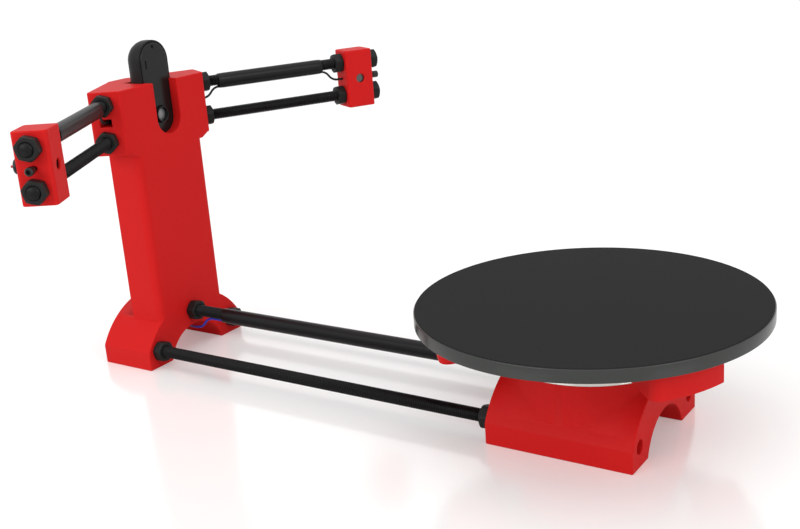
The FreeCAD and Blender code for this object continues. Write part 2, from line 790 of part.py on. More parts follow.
def make_motor():
    half = "{motor_width} / 2"
    inner = "{rotor_radius} + {running_gap}"

    def slice_of(name, bottom, length, bore):
        square = middle_block(
            name + "Square", ("{motor_width}", "{motor_width}", length), (f"{{axis_x}} - {half}", "0", bottom))
        soft = rounded(name + "Soft", square, d.motor_corner, upright)
        return cut(name + "Bored", soft, cylinder(name + "Bore", bore, length, ("{axis_x}", "0", bottom)))

    middle = "{motor_length} - 2 * {motor_cap}"
    finished("motor_stator", slice_of("Stator", "{motor_bottom} + {motor_cap}", middle, inner))
    front = slice_of("FrontCap", "{motor_top} - {motor_cap}", "{motor_cap}", "{motor_bearing_radius} + {fit_gap}")
    seat = ("{axis_x}", "0", "{motor_top}")
    pilot = cut(
        "Pilot",
        cylinder("PilotRing", "{pilot_radius}", "{pilot_height}", seat),
        cylinder("PilotBore", "{shaft_radius} + {pilot_clearance}", "{pilot_height}", seat))
    front_holes = [
        cylinder(f"CapHole{i}", "{small_screw_radius} + {fit_gap}", "{motor_cap} / 2",
                 (x, y, "{motor_top} - {motor_cap} / 2"))
        for i, (x, y) in enumerate(motor_corners())
    ]
    finished("motor_front_cap", cut("FrontCapHoles", fuse("FrontCapSolid", front, pilot), *front_holes))
    rear_bore = "{motor_bearing_radius} + {fit_gap}"
    rear = slice_of("RearCap", "{motor_bottom}", "{motor_cap}", rear_bore)
    lid = cylinder(
        "RearLid", "{motor_bearing_radius} + {motor_lid}", "{motor_lid}",
        ("{axis_x}", "0", "{motor_bottom}"))
    finished("motor_rear_cap", fuse("RearCapSolid", rear, lid))
    core = cylinder(
        "RotorCore", "{rotor_radius}", f"{middle} - 2 * {{soft_gap}}",
        ("{axis_x}", "0", "{motor_bottom} + {motor_cap} + {soft_gap}"))
    shaft = cylinder(
        "Shaft", "{shaft_radius}", "{motor_length} - {motor_lid} - {soft_gap} + {shaft_above}",
        ("{axis_x}", "0", "{motor_bottom} + {motor_lid} + {soft_gap}"))
    finished("motor_rotor", fuse("Rotor", core, shaft))
    rings = []
    for name, z in (
        ("Rear", "{motor_bottom} + {motor_lid}"),
        ("Front", "{motor_top} - {motor_bearing_width}"),
    ):
        ring = cylinder(f"{name}Race", "{motor_bearing_radius}", "{motor_bearing_width}", ("{axis_x}", "0", z))
        bore = cylinder(
            f"{name}RaceBore", "{shaft_radius} + {running_gap}", "{motor_bearing_width}", ("{axis_x}", "0", z))
        rings.append(cut(f"{name}Bearing", ring, bore))
    finished("motor_bearings", group("MotorBearings", *rings))
    screws = []
    for i, (x, y) in enumerate(motor_corners()):
        head = cylinder(
            f"MotorHead{i}", "{small_head_radius}", "{small_head_thick}", (x, y, "{bearing_bottom}"))
        shank = cylinder(
            f"MotorShank{i}", "{small_screw_radius}", "{motor_plate} + {motor_cap} / 2 - {soft_gap}",
            (x, y, "{motor_top} - {motor_cap} / 2 + {soft_gap}"))
        screws.append(fuse(f"MotorScrew{i}", head, shank))
    finished("motor_screws", group("MotorScrews", *screws))
    finished("motor_connector", middle_block(
        "MotorConnector", ("{plug_width}", "{motor_plug_width}", "{motor_plug_height}"),
        ("{axis_x} - {motor_width} / 2 - {plug_width}", "0", "{motor_bottom} + {motor_plug_rise}")))


# Slewing bearing between the base's spigot and the carrier


def make_bearing():
    centre = "{bearing_bottom} + {bearing_width} / 2"
    at = ("{axis_x}", "0", "{bearing_bottom}")
    width = "{bearing_width}"
    inner_land = "{pitch_radius} - {ring_gap} / 2"
    outer_land = "{pitch_radius} + {ring_gap} / 2"
    groove = "{ball_radius} + {running_gap}"
    inner = cut(
        "InnerRing",
        cylinder("InnerLand", inner_land, width, at),
        cylinder("InnerBore", "{bearing_bore} / 2", width, at),
        torus("InnerGroove", "{pitch_radius}", groove, ("{axis_x}", "0", centre)))
    finished("bearing_inner_ring", inner)
    outer = cut(
        "OuterRing",
        cylinder("OuterSide", "{bearing_outside} / 2", width, at),
        cylinder("OuterLand", outer_land, width, at),
        torus("OuterGroove", "{pitch_radius}", groove, ("{axis_x}", "0", centre)))
    finished("bearing_outer_ring", outer)
    count = int(d.ball_count)
    balls, pockets = [], []
    for i in range(count):
        turn = 2 * math.pi * i / count
        at_ball = (
            f"{{axis_x}} + {{pitch_radius}} * {math.cos(turn)!r}",
            f"{{pitch_radius}} * {math.sin(turn)!r}",
            centre,
        )
        balls.append(sphere(f"Ball{i}", "{ball_radius}", at_ball))
        pockets.append(sphere(f"BallPocket{i}", "{ball_radius} + {running_gap}", at_ball))
    finished("bearing_balls", group("BearingBalls", *balls))
    low = ("{axis_x}", "0", f"{centre} - {{ball_radius}} * 0.8")
    cage = cut(
        "Cage",
        cylinder("CageOutside", "{pitch_radius} + {cage_wall} / 2", "{ball_radius} * 1.6", low),
        cylinder("CageInside", "{pitch_radius} - {cage_wall} / 2", "{ball_radius} * 1.6", low),
        *pockets)
    finished("bearing_cage", cage)


# Turntable: carrier with four wings, disc and mat


def make_turntable():
    top_height = "{disc_bottom} - {bearing_top}"
    hub = cylinder("Hub", "{wing_root}", top_height, ("{axis_x}", "0", "{bearing_top}"))
    wings = []
    for i, start in enumerate((
        "{wing_start}", "180 - {wing_start} - {wing_sweep}",
        "180 + {wing_start}", "-{wing_start} - {wing_sweep}",
    )):
        wing = cylinder(
            f"Wing{i}", "{wing_radius}", "{disc_bottom} - {bearing_bottom} - {wing_rise}",
            ("{axis_x}", "0", "{bearing_bottom} + {wing_rise}"), angle="{wing_sweep}")
        bind(wing, "Placement.Rotation.Angle", start)
        wings.append(wing)
    collar = cylinder(
        "Collar", "{collar_radius}", "{collar_length}",
        ("{axis_x}", "0", "{bearing_top} + {relief_depth} - {collar_length}"))
    ring_seat = cylinder(
        "RingSeat", "{bearing_outside} / 2 + {fit_gap}", "{bearing_width}",
        ("{axis_x}", "0", "{bearing_bottom}"))
    solid = cut("Star", fuse("StarSolid", hub, *wings), ring_seat)
    relief = cylinder(
        "Relief", "{bearing_outside} / 2 - {relief_rim}", "{relief_depth}",
        ("{axis_x}", "0", "{bearing_top}"))
    body = fuse("CarrierBody", cut("CarrierRelieved", solid, relief), collar)
    outer_corner = d.wing_start + d.wing_sweep

    def at_wing_corner(edge):
        if not upright(edge):
            return False
        x, y = edge.Vertexes[0].Point.x - d.axis_x, edge.Vertexes[0].Point.y
        azimuth = math.degrees(math.atan2(abs(y), abs(x)))
        return math.hypot(x, y) > d.wing_radius - 1 and abs(azimuth - outer_corner) < 1

    body = rounded("CarrierRounded", body, d.wing_rounding, at_wing_corner)
    hollows = [cylinder(
        "ShaftHole", "{shaft_radius} + {fit_gap}", "{motor_length} + {shaft_above}",
        ("{axis_x}", "0", "{motor_bottom} + {soft_gap}"))]
    hollows.append(cylinder(
        "SetScrewHole", "{small_screw_radius} + {fit_gap}", "{collar_radius}",
        ("{axis_x}", "0", "{bearing_top} + {relief_depth} - {collar_length} / 2"), along_x))
    screws, sinks = [], []
    for i, (x, y) in enumerate(disc_screw_places()):
        hollows.append(cylinder(
            f"WingHole{i}", "{small_screw_radius} + {fit_gap}", "{wing_hole_depth}",
            (x, y, "{disc_bottom} - {wing_hole_depth}")))
        head_bottom = "{disc_bottom} + {disc_thick} - {small_head_thick}"
        sinks.append(cylinder(
            f"DiscHole{i}", "{small_screw_radius} + {fit_gap}", "{disc_thick}", (x, y, "{disc_bottom}")))
        sinks.append(cylinder(
            f"DiscSink{i}", "{small_head_radius} + {fit_gap}", "{small_head_thick}", (x, y, head_bottom)))
        head = cylinder(f"DiscHead{i}", "{small_head_radius}", "{small_head_thick}", (x, y, head_bottom))
        shank = cylinder(
            f"DiscShank{i}", "{small_screw_radius}",
            "{disc_thick} + {wing_hole_depth} - {small_head_thick} - {soft_gap}",
            (x, y, "{disc_bottom} - {wing_hole_depth} + {soft_gap}"))
        screws.append(fuse(f"DiscScrew{i}", head, shank))
    finished("turntable_carrier", cut("Carrier", body, *hollows))
    disc = cylinder("DiscPlate", "{disc_radius}", "{disc_thick}", ("{axis_x}", "0", "{disc_bottom}"))
    finished("turntable_disc", cut("Disc", disc, *sinks))
    finished("disc_screws", group("DiscScrews", *screws))
    finished("disc_mat", cylinder(
        "DiscMat", "{disc_radius} - {mat_inset}", "{mat_thick}",
        ("{axis_x}", "0", "{turntable_top} - {mat_thick}")))
    finished("shaft_set_screw", cylinder(
        "SetScrew", "{small_screw_radius}", "{collar_radius} - {shaft_radius} - {fit_gap}",
        ("{axis_x} + {shaft_radius} + {fit_gap}", "0", "{bearing_top} + {relief_depth} - {collar_length} / 2"),
        along_x))


def disc_screw_places():
    turn = "({wing_start} + {wing_sweep} / 2)"
    x, y = f"{{disc_screw_circle}} * cos({turn})", f"{{disc_screw_circle}} * sin({turn})"
    return [(f"{{axis_x}} {i} {x}", f"0 {j} {y}") for i in "+-" for j in "+-"]


# Controller, shield and what stands on them, all behind the column's front wall


def make_electronics():
    def board(name, x, holes):
        plate = middle_block(
            name + "Plate", ("{board_thick}", "{board_width}", "{board_height}"),
            (f"{x} - {{board_thick}}", "0", "{board_bottom}"))
        if not holes:
            return plate
        return cut(name, plate, *[
            cylinder(f"{name}Hole{i}", "{small_screw_radius} + {fit_gap}", "{board_thick}",
                     (f"{x} - {{board_thick}}", y, z), along_x)
            for i, (y, z) in enumerate(board_corners())
        ])

    finished("controller_board", board("Controller", "{board_x}", True))
    finished("shield_board", board("Shield", "{shield_x}", False))
    standoffs, screws = [], []
    for i, (y, z) in enumerate(board_corners()):
        post = cylinder(
            f"StandoffPost{i}", "{standoff_radius}", "{standoff_length}", ("{board_x}", y, z), along_x)
        bore = cylinder(
            f"StandoffBore{i}", "{small_screw_radius} + {fit_gap}", "{standoff_length}", ("{board_x}", y, z),
            along_x)
        standoffs.append(cut(f"Standoff{i}", post, bore))
        head = cylinder(
            f"BoardHead{i}", "{small_head_radius}", "{small_head_thick}",
            ("{board_x} - {board_thick} - {small_head_thick}", y, z), along_x)
        shank = cylinder(
            f"BoardShank{i}", "{small_screw_radius}",
            "{board_thick} + {standoff_length} + {tower_wall} - {screw_skin} - {soft_gap}",
            ("{board_x} - {board_thick}", y, z), along_x)
        screws.append(fuse(f"BoardScrew{i}", head, shank))
    finished("board_standoffs", group("BoardStandoffs", *standoffs))
    finished("board_screws", group("BoardScrews", *screws))
    strips = [
        middle_block(
            f"Header{side}", ("{shield_gap}", "{header_width}", "{header_length}"),
            ("{shield_x}", f"{side} * ({{board_width}} / 2 - 2 * {{header_width}} - {{board_hole_inset}})",
             "{board_bottom} + ({board_height} - {header_length}) / 2"))
        for side in (-1, 1)
    ]
    finished("header_strips", group("HeaderStrips", *strips))
    back = "{board_x} - {board_thick} - {usb_height}"
    usb_bottom = "{board_bottom} - {usb_overhang}"
    usb = middle_block(
        "UsbShell", ("{usb_height}", "{usb_width}", "{usb_length}"), (back, "{usb_y}", usb_bottom))
    mouth = middle_block(
        "UsbMouth", ("{usb_height} - 2 * {usb_wall}", "{usb_width} - 2 * {usb_wall}", "{usb_depth}"),
        (f"{back} + {{usb_wall}}", "{usb_y}", usb_bottom))
    tongue = middle_block(
        "UsbTongue", ("{usb_tongue_thick}", "{usb_tongue_width}", "{usb_depth}"),
        (f"{back} + ({{usb_height}} - {{usb_tongue_thick}}) / 2", "{usb_y}",
         f"{usb_bottom} + {{usb_tongue_inset}}"))
    finished("usb_socket", fuse("UsbSocket", cut("UsbHollow", usb, mouth), tongue))
    jack_bottom = "{board_bottom} - {jack_overhang}"
    jack_middle = f"{back} + {{usb_height}} / 2"
    jack = middle_block(
        "JackBlock", ("{usb_height}", "{jack_width}", "{jack_length}"), (back, "{jack_y}", jack_bottom))
    jack_hole = cylinder(
        "JackHole", "{jack_bore_radius}", "{jack_depth}", (jack_middle, "{jack_y}", jack_bottom))
    jack_pin = cylinder(
        "JackPin", "{jack_pin_radius}", "{jack_depth}",
        (jack_middle, "{jack_y}", f"{jack_bottom} + {{jack_pin_inset}}"))
    finished("power_socket", fuse("PowerSocket", cut("JackHollow", jack, jack_hole), jack_pin))
    make_shield_pieces()


def make_shield_pieces():
    back = "{shield_x} - {board_thick}"
    z_driver = "{board_bottom} + {board_height} / 2 - {driver_length} / 2"
    sockets = [
        middle_block(
            f"DriverSocket{side}", ("{driver_lift}", "{header_width}", "{driver_length}"),
            (f"{back} - {{driver_lift}}", f"{side} * ({{driver_width}} - {{header_width}}) / 2", z_driver))
        for side in (-1, 1)
    ]
    card = middle_block(
        "DriverCard", ("{board_thick}", "{driver_width}", "{driver_length}"),
        (f"{back} - {{driver_lift}} - {{board_thick}}", "0", z_driver))
    chip_x = f"{back} - {{driver_lift}} - {{board_thick}}"
    chip = middle_block(
        "DriverChip", ("{chip_thick}", "{chip_width}", "{chip_width}"),
        (f"{chip_x} - {{chip_thick}}", "0", f"{z_driver} + {{chip_rise}}"))
    trimmer_z = f"{z_driver} + {{driver_length}} - {{trimmer_inset}}"
    post = cylinder(
        "TrimmerPost", "{trimmer_post_radius}", "{trimmer_post_height}",
        (chip_x, "0", trimmer_z), against_x)
    finished("motor_driver", fuse("MotorDriver", card, chip, post, *sockets))
    sink_x = f"{chip_x} - {{chip_thick}} - {{sink_height}}"
    sink_z = f"{z_driver} + {{sink_rise}}"
    sink = middle_block(
        "SinkBlock", ("{sink_height}", "{sink_width}", "{sink_width}"), (sink_x, "0", sink_z))
    fins = int(d.sink_fins)
    gaps = [
        middle_block(
            f"SinkGap{i}", ("{sink_height} - {sink_base}", f"{{sink_width}} / {2 * fins - 1}", "{sink_width}"),
            (sink_x, f"{{sink_width}} * {(2 * i + 1.5) / (2 * fins - 1) - 0.5!r}", sink_z))
        for i in range(fins - 1)
    ]
    finished("heat_sink", cut("HeatSink", sink, *gaps))
    ring = cylinder(
        "TrimmerRing", "{trimmer_radius}", "{trimmer_thick}",
        (f"{chip_x} - {{trimmer_lift}}", "0", trimmer_z), against_x)
    bore = cylinder(
        "TrimmerBore", "{trimmer_post_radius} + {running_gap}", "{trimmer_post_height}",
        (chip_x, "0", trimmer_z), against_x)
    cross = middle_block(
        "TrimmerSlot", ("{trimmer_slot_depth}", "{trimmer_slot_width}", "2 * {trimmer_radius}"),
        (f"{chip_x} - {{trimmer_lift}} - {{trimmer_thick}}", "0", f"{trimmer_z} - {{trimmer_radius}}"))
    finished("driver_trimmer", cut("Trimmer", ring, bore, cross))
    switch_z = "{board_bottom} + {switch_rise}"
    box = middle_block(
        "SwitchBox", ("{switch_height}", "{switch_width}", "{switch_width}"),
        (f"{back} - {{switch_height}}", "{switch_y}", f"{switch_z} - {{switch_width}} / 2"))
    well = cylinder(
        "SwitchWell", "{button_radius} + {running_gap}", "{switch_height} - {switch_floor}",
        (f"{back} - {{switch_height}}", "{switch_y}", switch_z), along_x)
    finished("reset_switch", cut("ResetSwitch", box, well))
    finished("reset_button", cylinder(
        "ResetButton", "{button_radius}",
        "{button_height} + {switch_height} - {switch_floor} - {button_travel} - {fit_gap}",
        (f"{back} - {{switch_height}} - {{button_height}}", "{switch_y}", switch_z), along_x))
    plugs = []
    for name, y, z in (
        ("Near", "-{duct_reach} * cos({arm_angle})", "{plug_top} - {plug_height}"),
        ("Far", "{duct_reach} * cos({arm_angle})", "{plug_top} - {plug_height}"),
        ("Motor", "{cable_y}", "{board_bottom} - {motor_plug_drop}"),
    ):
        plugs.append(middle_block(
            f"Plug{name}", ("{plug_width}", "{plug_width}", "{plug_height}"),
            (f"{back} - {{plug_width}}", y, z)))
    finished("lead_plugs", group("LeadPlugs", *plugs))


# Webcam


def make_webcam():
    half = "{cam_width} / 2"
    upper = "{cam_height} - {cam_width}"

    def pill(name, inset, x, depth):
        # a round ended upright section whose lower centre is above the webcam's bottom
        radius = f"{half} - ({inset})"
        z = f"{{cam_bottom}} + {half}"
        lower = cylinder(name + "Lower", radius, depth, (x, "{cam_y}", z), along_x)
        top = cylinder(name + "Top", radius, depth, (x, "{cam_y}", f"{z} + {upper}"), along_x)
        web = middle_block(name + "Web", (depth, f"2 * ({radius})", upper), (x, "{cam_y}", z))
        return fuse(name, lower, top, web)

    def at_back(x):
        return lambda edge: all(abs(vertex.Point.x - x) < 0.01 for vertex in edge.Vertexes)

    shell_depth = "{cam_depth} - {bezel_thick}"
    rear_x = d.cam_front_x - d.cam_depth
    outside = pill("CamOutside", "0", "{cam_front_x} - {cam_depth}", shell_depth)
    outside.Refine = True
    outside = rounded("CamOutsideRound", outside, d.cam_rounding, at_back(rear_x))
    inside = pill("CamInside", "{cam_wall}", "{cam_front_x} - {cam_depth} + {cam_wall}", shell_depth)
    inside.Refine = True
    inside = rounded(
        "CamInsideRound", inside, d.cam_rounding - d.cam_wall, at_back(rear_x + d.cam_wall))
    finished("webcam_rear_shell", cut("CamShell", outside, inside))
    inset = "({cam_width} - {bezel_width}) / 2"
    lip_x = "{cam_front_x} - {bezel_thick} - {bezel_lip}"
    bezel = pill("BezelPlate", inset, "{cam_front_x} - {bezel_thick}", "{bezel_thick}")
    lip = pill("BezelLip", "{cam_wall} + {fit_gap}", lip_x, "{bezel_lip}")
    hole = cylinder(
        "LensHole", "{lens_barrel_radius} + {fit_gap}", "{bezel_thick} + {bezel_lip}",
        (lip_x, "{cam_y}", "{lens_height}"), along_x)
    cam_top = "{cam_bottom} + {cam_height}"
    ear = cylinder(
        "MicrophoneHole", "{microphone_radius}", "{microphone_depth}",
        ("{cam_front_x} - {microphone_depth}", "{cam_y}", f"{cam_top} - {{microphone_drop}}"), along_x)
    window = middle_block(
        "LampWindow", ("{window_depth}", "{window_width}", "{window_height}"),
        ("{cam_front_x} - {window_depth}", "{cam_y} - {window_side}", f"{cam_top} - {{window_drop}}"))
    finished("webcam_bezel", cut("Bezel", fuse("BezelSolid", bezel, lip), hole, ear, window))
    board_x = "{cam_front_x} - {bezel_thick} - {cam_board_gap}"
    finished("webcam_board", middle_block(
        "CamBoard", ("{cam_board_thick}", "{cam_width} - 2 * {cam_wall} - 2 * {soft_gap}", upper),
        (board_x, "{cam_y}", f"{{cam_bottom}} + {half}")))
    barrel = cylinder(
        "CamBarrel", "{lens_barrel_radius}",
        "{bezel_thick} + {cam_board_gap} - {cam_board_thick} + {lens_barrel_proud}",
        (f"{board_x} + {{cam_board_thick}}", "{cam_y}", "{lens_height}"), along_x)
    well_x = "{cam_front_x} + {lens_barrel_proud} - {lens_well}"
    well = cylinder(
        "CamBarrelWell", "{lens_radius} + {fit_gap}", "{lens_well}",
        (well_x, "{cam_y}", "{lens_height}"), along_x)
    finished("webcam_lens_barrel", cut("CamLensBarrel", barrel, well))
    dome = "2 * {lens_radius}"
    glass = common(
        "CamGlass",
        cylinder("CamGlassSide", "{lens_radius}", "{lens_well}", (well_x, "{cam_y}", "{lens_height}"), along_x),
        sphere("CamGlassDome", dome, (f"{well_x} + {{lens_crown}} - {dome}", "{cam_y}", "{lens_height}")))
    finished("webcam_lens", glass)


make_column()
make_base()
make_base_rods()
make_arm_rods()
make_lasers()
make_sleeves()
make_leads()
make_motor()
make_bearing()
make_turntable()
make_electronics()
make_webcam()
doc.recompute()

for thing in doc.Objects:
    if "Invalid" in thing.State or "Error" in thing.State:
        raise RuntimeError(f"{thing.Name} failed: {thing.State}")
for node, thing in parts.items():
    if thing.Shape.isNull() or not thing.Shape.isValid() or not thing.Shape.Solids:
        raise RuntimeError(f"{node} has no valid solid")

os.makedirs("parts", exist_ok=True)
for node, thing in parts.items():
    thing.Shape.exportStep(f"parts/{node}.step")
whole = Part.makeCompound([thing.Shape for thing in parts.values()]).BoundBox
print(len(parts), "parts;", f"{whole.XLength:.1f} x {whole.YLength:.1f} x {whole.ZLength:.1f} mm,",
      f"middle x {(whole.XMin + whole.XMax) / 2:.3f}, lowest z {whole.ZMin:.3f}")
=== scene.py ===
import json
import bpy
import bmesh
import numpy as np
from mathutils import Matrix, Vector

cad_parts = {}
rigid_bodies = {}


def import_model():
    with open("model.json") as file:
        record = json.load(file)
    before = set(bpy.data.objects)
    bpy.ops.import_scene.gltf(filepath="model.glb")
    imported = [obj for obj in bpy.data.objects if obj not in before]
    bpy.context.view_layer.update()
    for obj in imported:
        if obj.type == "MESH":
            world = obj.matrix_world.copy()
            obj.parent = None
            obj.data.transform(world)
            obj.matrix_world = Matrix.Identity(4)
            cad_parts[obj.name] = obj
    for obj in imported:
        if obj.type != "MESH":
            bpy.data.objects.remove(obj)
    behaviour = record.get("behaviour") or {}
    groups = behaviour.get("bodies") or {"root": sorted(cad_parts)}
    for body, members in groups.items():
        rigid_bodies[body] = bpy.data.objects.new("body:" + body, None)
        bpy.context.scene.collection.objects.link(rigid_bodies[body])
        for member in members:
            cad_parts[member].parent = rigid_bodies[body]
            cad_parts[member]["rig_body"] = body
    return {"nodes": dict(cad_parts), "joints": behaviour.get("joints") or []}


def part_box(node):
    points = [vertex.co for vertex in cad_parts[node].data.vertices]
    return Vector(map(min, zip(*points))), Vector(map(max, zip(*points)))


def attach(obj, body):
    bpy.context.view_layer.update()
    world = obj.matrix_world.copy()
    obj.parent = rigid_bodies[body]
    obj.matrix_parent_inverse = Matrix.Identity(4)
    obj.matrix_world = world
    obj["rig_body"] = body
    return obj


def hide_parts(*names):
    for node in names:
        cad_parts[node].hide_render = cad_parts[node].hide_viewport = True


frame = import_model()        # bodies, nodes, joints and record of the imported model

# Desktop laser scanner: red printed column and base, threaded rods, laser arms, webcam, turntable.
mm = 0.001
full = 2 * np.pi
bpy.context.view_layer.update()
print("frame loaded")


# Materials

# what a finish has unless it says otherwise; grain is a noise scale, ribs and bumpHeight are in mm
plainFinish = {"shade": 0.9, "roughSpread": 0.03, "grain": 900.0, "bump": 0.2, "bumpHeight": 0.02}
noiseDetail = 4.0


def newMaterial(name, form):
    # one finish: two near shades mixed by fine noise, a spread of roughness to match, and a bump of grain or ribs
    form = {**plainFinish, **form}
    made = bpy.data.materials.new(name)
    made.use_nodes = True
    nodes, links = made.node_tree.nodes, made.node_tree.links
    shader = nodes["Principled BSDF"]
    place = nodes.new("ShaderNodeTexCoord")
    noise = nodes.new("ShaderNodeTexNoise")
    noise.inputs["Scale"].default_value = form["grain"]
    noise.inputs["Detail"].default_value = noiseDetail
    links.new(place.outputs["Object"], noise.inputs["Vector"])
    shade = nodes.new("ShaderNodeMix")
    shade.data_type = "RGBA"      # its colours go in at sockets 6 and 7 and come out at 2
    shade.inputs[6].default_value = (*form["colour"], 1)
    shade.inputs[7].default_value = (*[part * form["shade"] for part in form["colour"]], 1)
    links.new(noise.outputs["Fac"], shade.inputs[0])
    links.new(shade.outputs[2], shader.inputs["Base Color"])
    gloss = nodes.new("ShaderNodeMapRange")
    gloss.inputs["To Min"].default_value = form["rough"] - form["roughSpread"]
    gloss.inputs["To Max"].default_value = form["rough"] + form["roughSpread"]
    links.new(noise.outputs["Fac"], gloss.inputs["Value"])
    links.new(gloss.outputs["Result"], shader.inputs["Roughness"])
    height = noise.outputs["Fac"]
    if "ribs" in form:
        wave = nodes.new("ShaderNodeTexWave")
        wave.wave_type = "BANDS"
        wave.bands_direction = "Z"
        wave.inputs["Scale"].default_value = full / (20 * form["ribs"] * mm)      # a rib is full / 20 / scale
        links.new(place.outputs["Object"], wave.inputs["Vector"])
        both = nodes.new("ShaderNodeMath")
        both.operation = "ADD"
        links.new(noise.outputs["Fac"], both.inputs[0])
        links.new(wave.outputs["Fac"], both.inputs[1])
        height = both.outputs["Value"]
    bump = nodes.new("ShaderNodeBump")
    bump.inputs["Strength"].default_value = form["bump"]
    bump.inputs["Distance"].default_value = form["bumpHeight"] * mm
    links.new(height, bump.inputs["Height"])
    links.new(bump.outputs["Normal"], shader.inputs["Normal"])
    for socket in ("Metallic", "Coat Weight", "Coat Roughness", "Specular IOR Level"):
        if socket in form:
            shader.inputs[socket].default_value = form[socket]
    return made


finishes = {
    "printedRed": {"colour": (0.69, 0.013, 0.013), "rough": 0.5, "shade": 0.94, "grain": 500, "ribs": 0.25,
                   "bump": 0.1, "bumpHeight": 0.01, "Specular IOR Level": 0.1},
    "rodBlack": {"colour": (0.004, 0.004, 0.0045), "rough": 0.42, "shade": 0.7, "grain": 1400,
                 "Specular IOR Level": 0.2},
    "nutBlack": {"colour": (0.012, 0.013, 0.0125), "rough": 0.5, "shade": 0.75, "grain": 1100,
                 "Specular IOR Level": 0.22},
    "sleeveBlack": {"colour": (0.006, 0.006, 0.007), "rough": 0.34, "grain": 300, "bump": 0.1,
                    "Specular IOR Level": 0.22},
    "leadBlack": {"colour": (0.012, 0.012, 0.013), "rough": 0.5, "grain": 1500, "Specular IOR Level": 0.3},
    "leadBlue": {"colour": (0.03, 0.045, 0.5), "rough": 0.4, "grain": 1500, "Specular IOR Level": 0.3},
    "leadRed": {"colour": (0.6, 0.02, 0.02), "rough": 0.4, "grain": 1500},
    "laserBlack": {"colour": (0.015, 0.016, 0.016), "rough": 0.35, "grain": 1200, "Metallic": 0.4},
    "lensGlass": {"colour": (0.05, 0.06, 0.055), "rough": 0.05, "roughSpread": 0.01, "grain": 800,
                  "bump": 0.0, "Coat Weight": 1.0, "Coat Roughness": 0.02},
    # the webcam lens: glass whose light grey colour is a painted reflection of the white surroundings
    "webcamGlassWithPaintedReflection": {"colour": (0.22, 0.22, 0.225), "rough": 0.2, "roughSpread": 0.02, "grain": 700,
                    "bump": 0.02, "Coat Weight": 1.0, "Coat Roughness": 0.03},
    "screwBlack": {"colour": (0.02, 0.021, 0.02), "rough": 0.34, "grain": 1300, "Metallic": 0.4},
    "screwSteel": {"colour": (0.62, 0.62, 0.62), "rough": 0.3, "grain": 1200, "Metallic": 1.0},
    "motorAluminium": {"colour": (0.55, 0.55, 0.56), "rough": 0.38, "grain": 1500, "Metallic": 1.0,
                       "bump": 0.3},
    "motorSteel": {"colour": (0.05, 0.05, 0.055), "rough": 0.4, "Metallic": 0.8, "ribs": 0.5,
                   "bump": 0.6, "bumpHeight": 0.03},
    "shaftSteel": {"colour": (0.66, 0.66, 0.67), "rough": 0.22, "grain": 1400, "Metallic": 1.0},
    "connectorWhite": {"colour": (0.78, 0.76, 0.7), "rough": 0.45},
    "connectorBlack": {"colour": (0.018, 0.018, 0.02), "rough": 0.5},
    "terminalGreen": {"colour": (0.03, 0.3, 0.12), "rough": 0.45},
    "chipBlack": {"colour": (0.02, 0.02, 0.022), "rough": 0.42, "grain": 1800, "bump": 0.3},
    "canAluminium": {"colour": (0.6, 0.6, 0.62), "rough": 0.28, "grain": 1500, "Metallic": 1.0},
    "canSleeve": {"colour": (0.02, 0.03, 0.09), "rough": 0.35, "grain": 700},
    "bearingSteel": {"colour": (0.72, 0.72, 0.68), "rough": 0.18, "grain": 1200, "Metallic": 1.0},
    "cageBrass": {"colour": (0.66, 0.45, 0.14), "rough": 0.3, "grain": 1200, "Metallic": 1.0},
    "discBlack": {"colour": (0.044, 0.047, 0.044), "rough": 0.2, "shade": 0.95, "roughSpread": 0.02,
                  "grain": 200, "bump": 0.04, "Specular IOR Level": 0.3},
    "matBlack": {"colour": (0.030, 0.030, 0.030), "rough": 0.9, "shade": 0.94, "grain": 2400, "bump": 0.25,
                 "Specular IOR Level": 0.05},
    "boardBlue": {"colour": (0.006, 0.08, 0.16), "rough": 0.32, "shade": 0.8, "grain": 600,
                  "Coat Weight": 0.4},
    "boardRed": {"colour": (0.36, 0.012, 0.016), "rough": 0.3, "shade": 0.85, "grain": 600,
                 "Coat Weight": 0.4},
    "socketSteel": {"colour": (0.6, 0.6, 0.61), "rough": 0.25, "grain": 1200, "Metallic": 1.0},
    "sinkAluminium": {"colour": (0.5, 0.51, 0.53), "rough": 0.4, "grain": 1500, "Metallic": 1.0},
    "buttonRed": {"colour": (0.55, 0.03, 0.02), "rough": 0.35, "grain": 800},
    "standoffBrass": {"colour": (0.62, 0.44, 0.16), "rough": 0.28, "grain": 1200, "Metallic": 1.0},
    "goldPin": {"colour": (0.75, 0.55, 0.2), "rough": 0.25, "grain": 1500, "Metallic": 1.0},
    "webcamShell": {"colour": (0.006, 0.0063, 0.0063), "rough": 0.45, "grain": 1500, "bump": 0.15,
                    "Specular IOR Level": 0.22},
    "webcamGloss": {"colour": (0.009, 0.0093, 0.0093), "rough": 0.25, "shade": 0.95, "grain": 400,
                    "bump": 0.03, "Specular IOR Level": 0.3},
}
material = {name: newMaterial(name, form) for name, form in finishes.items()}
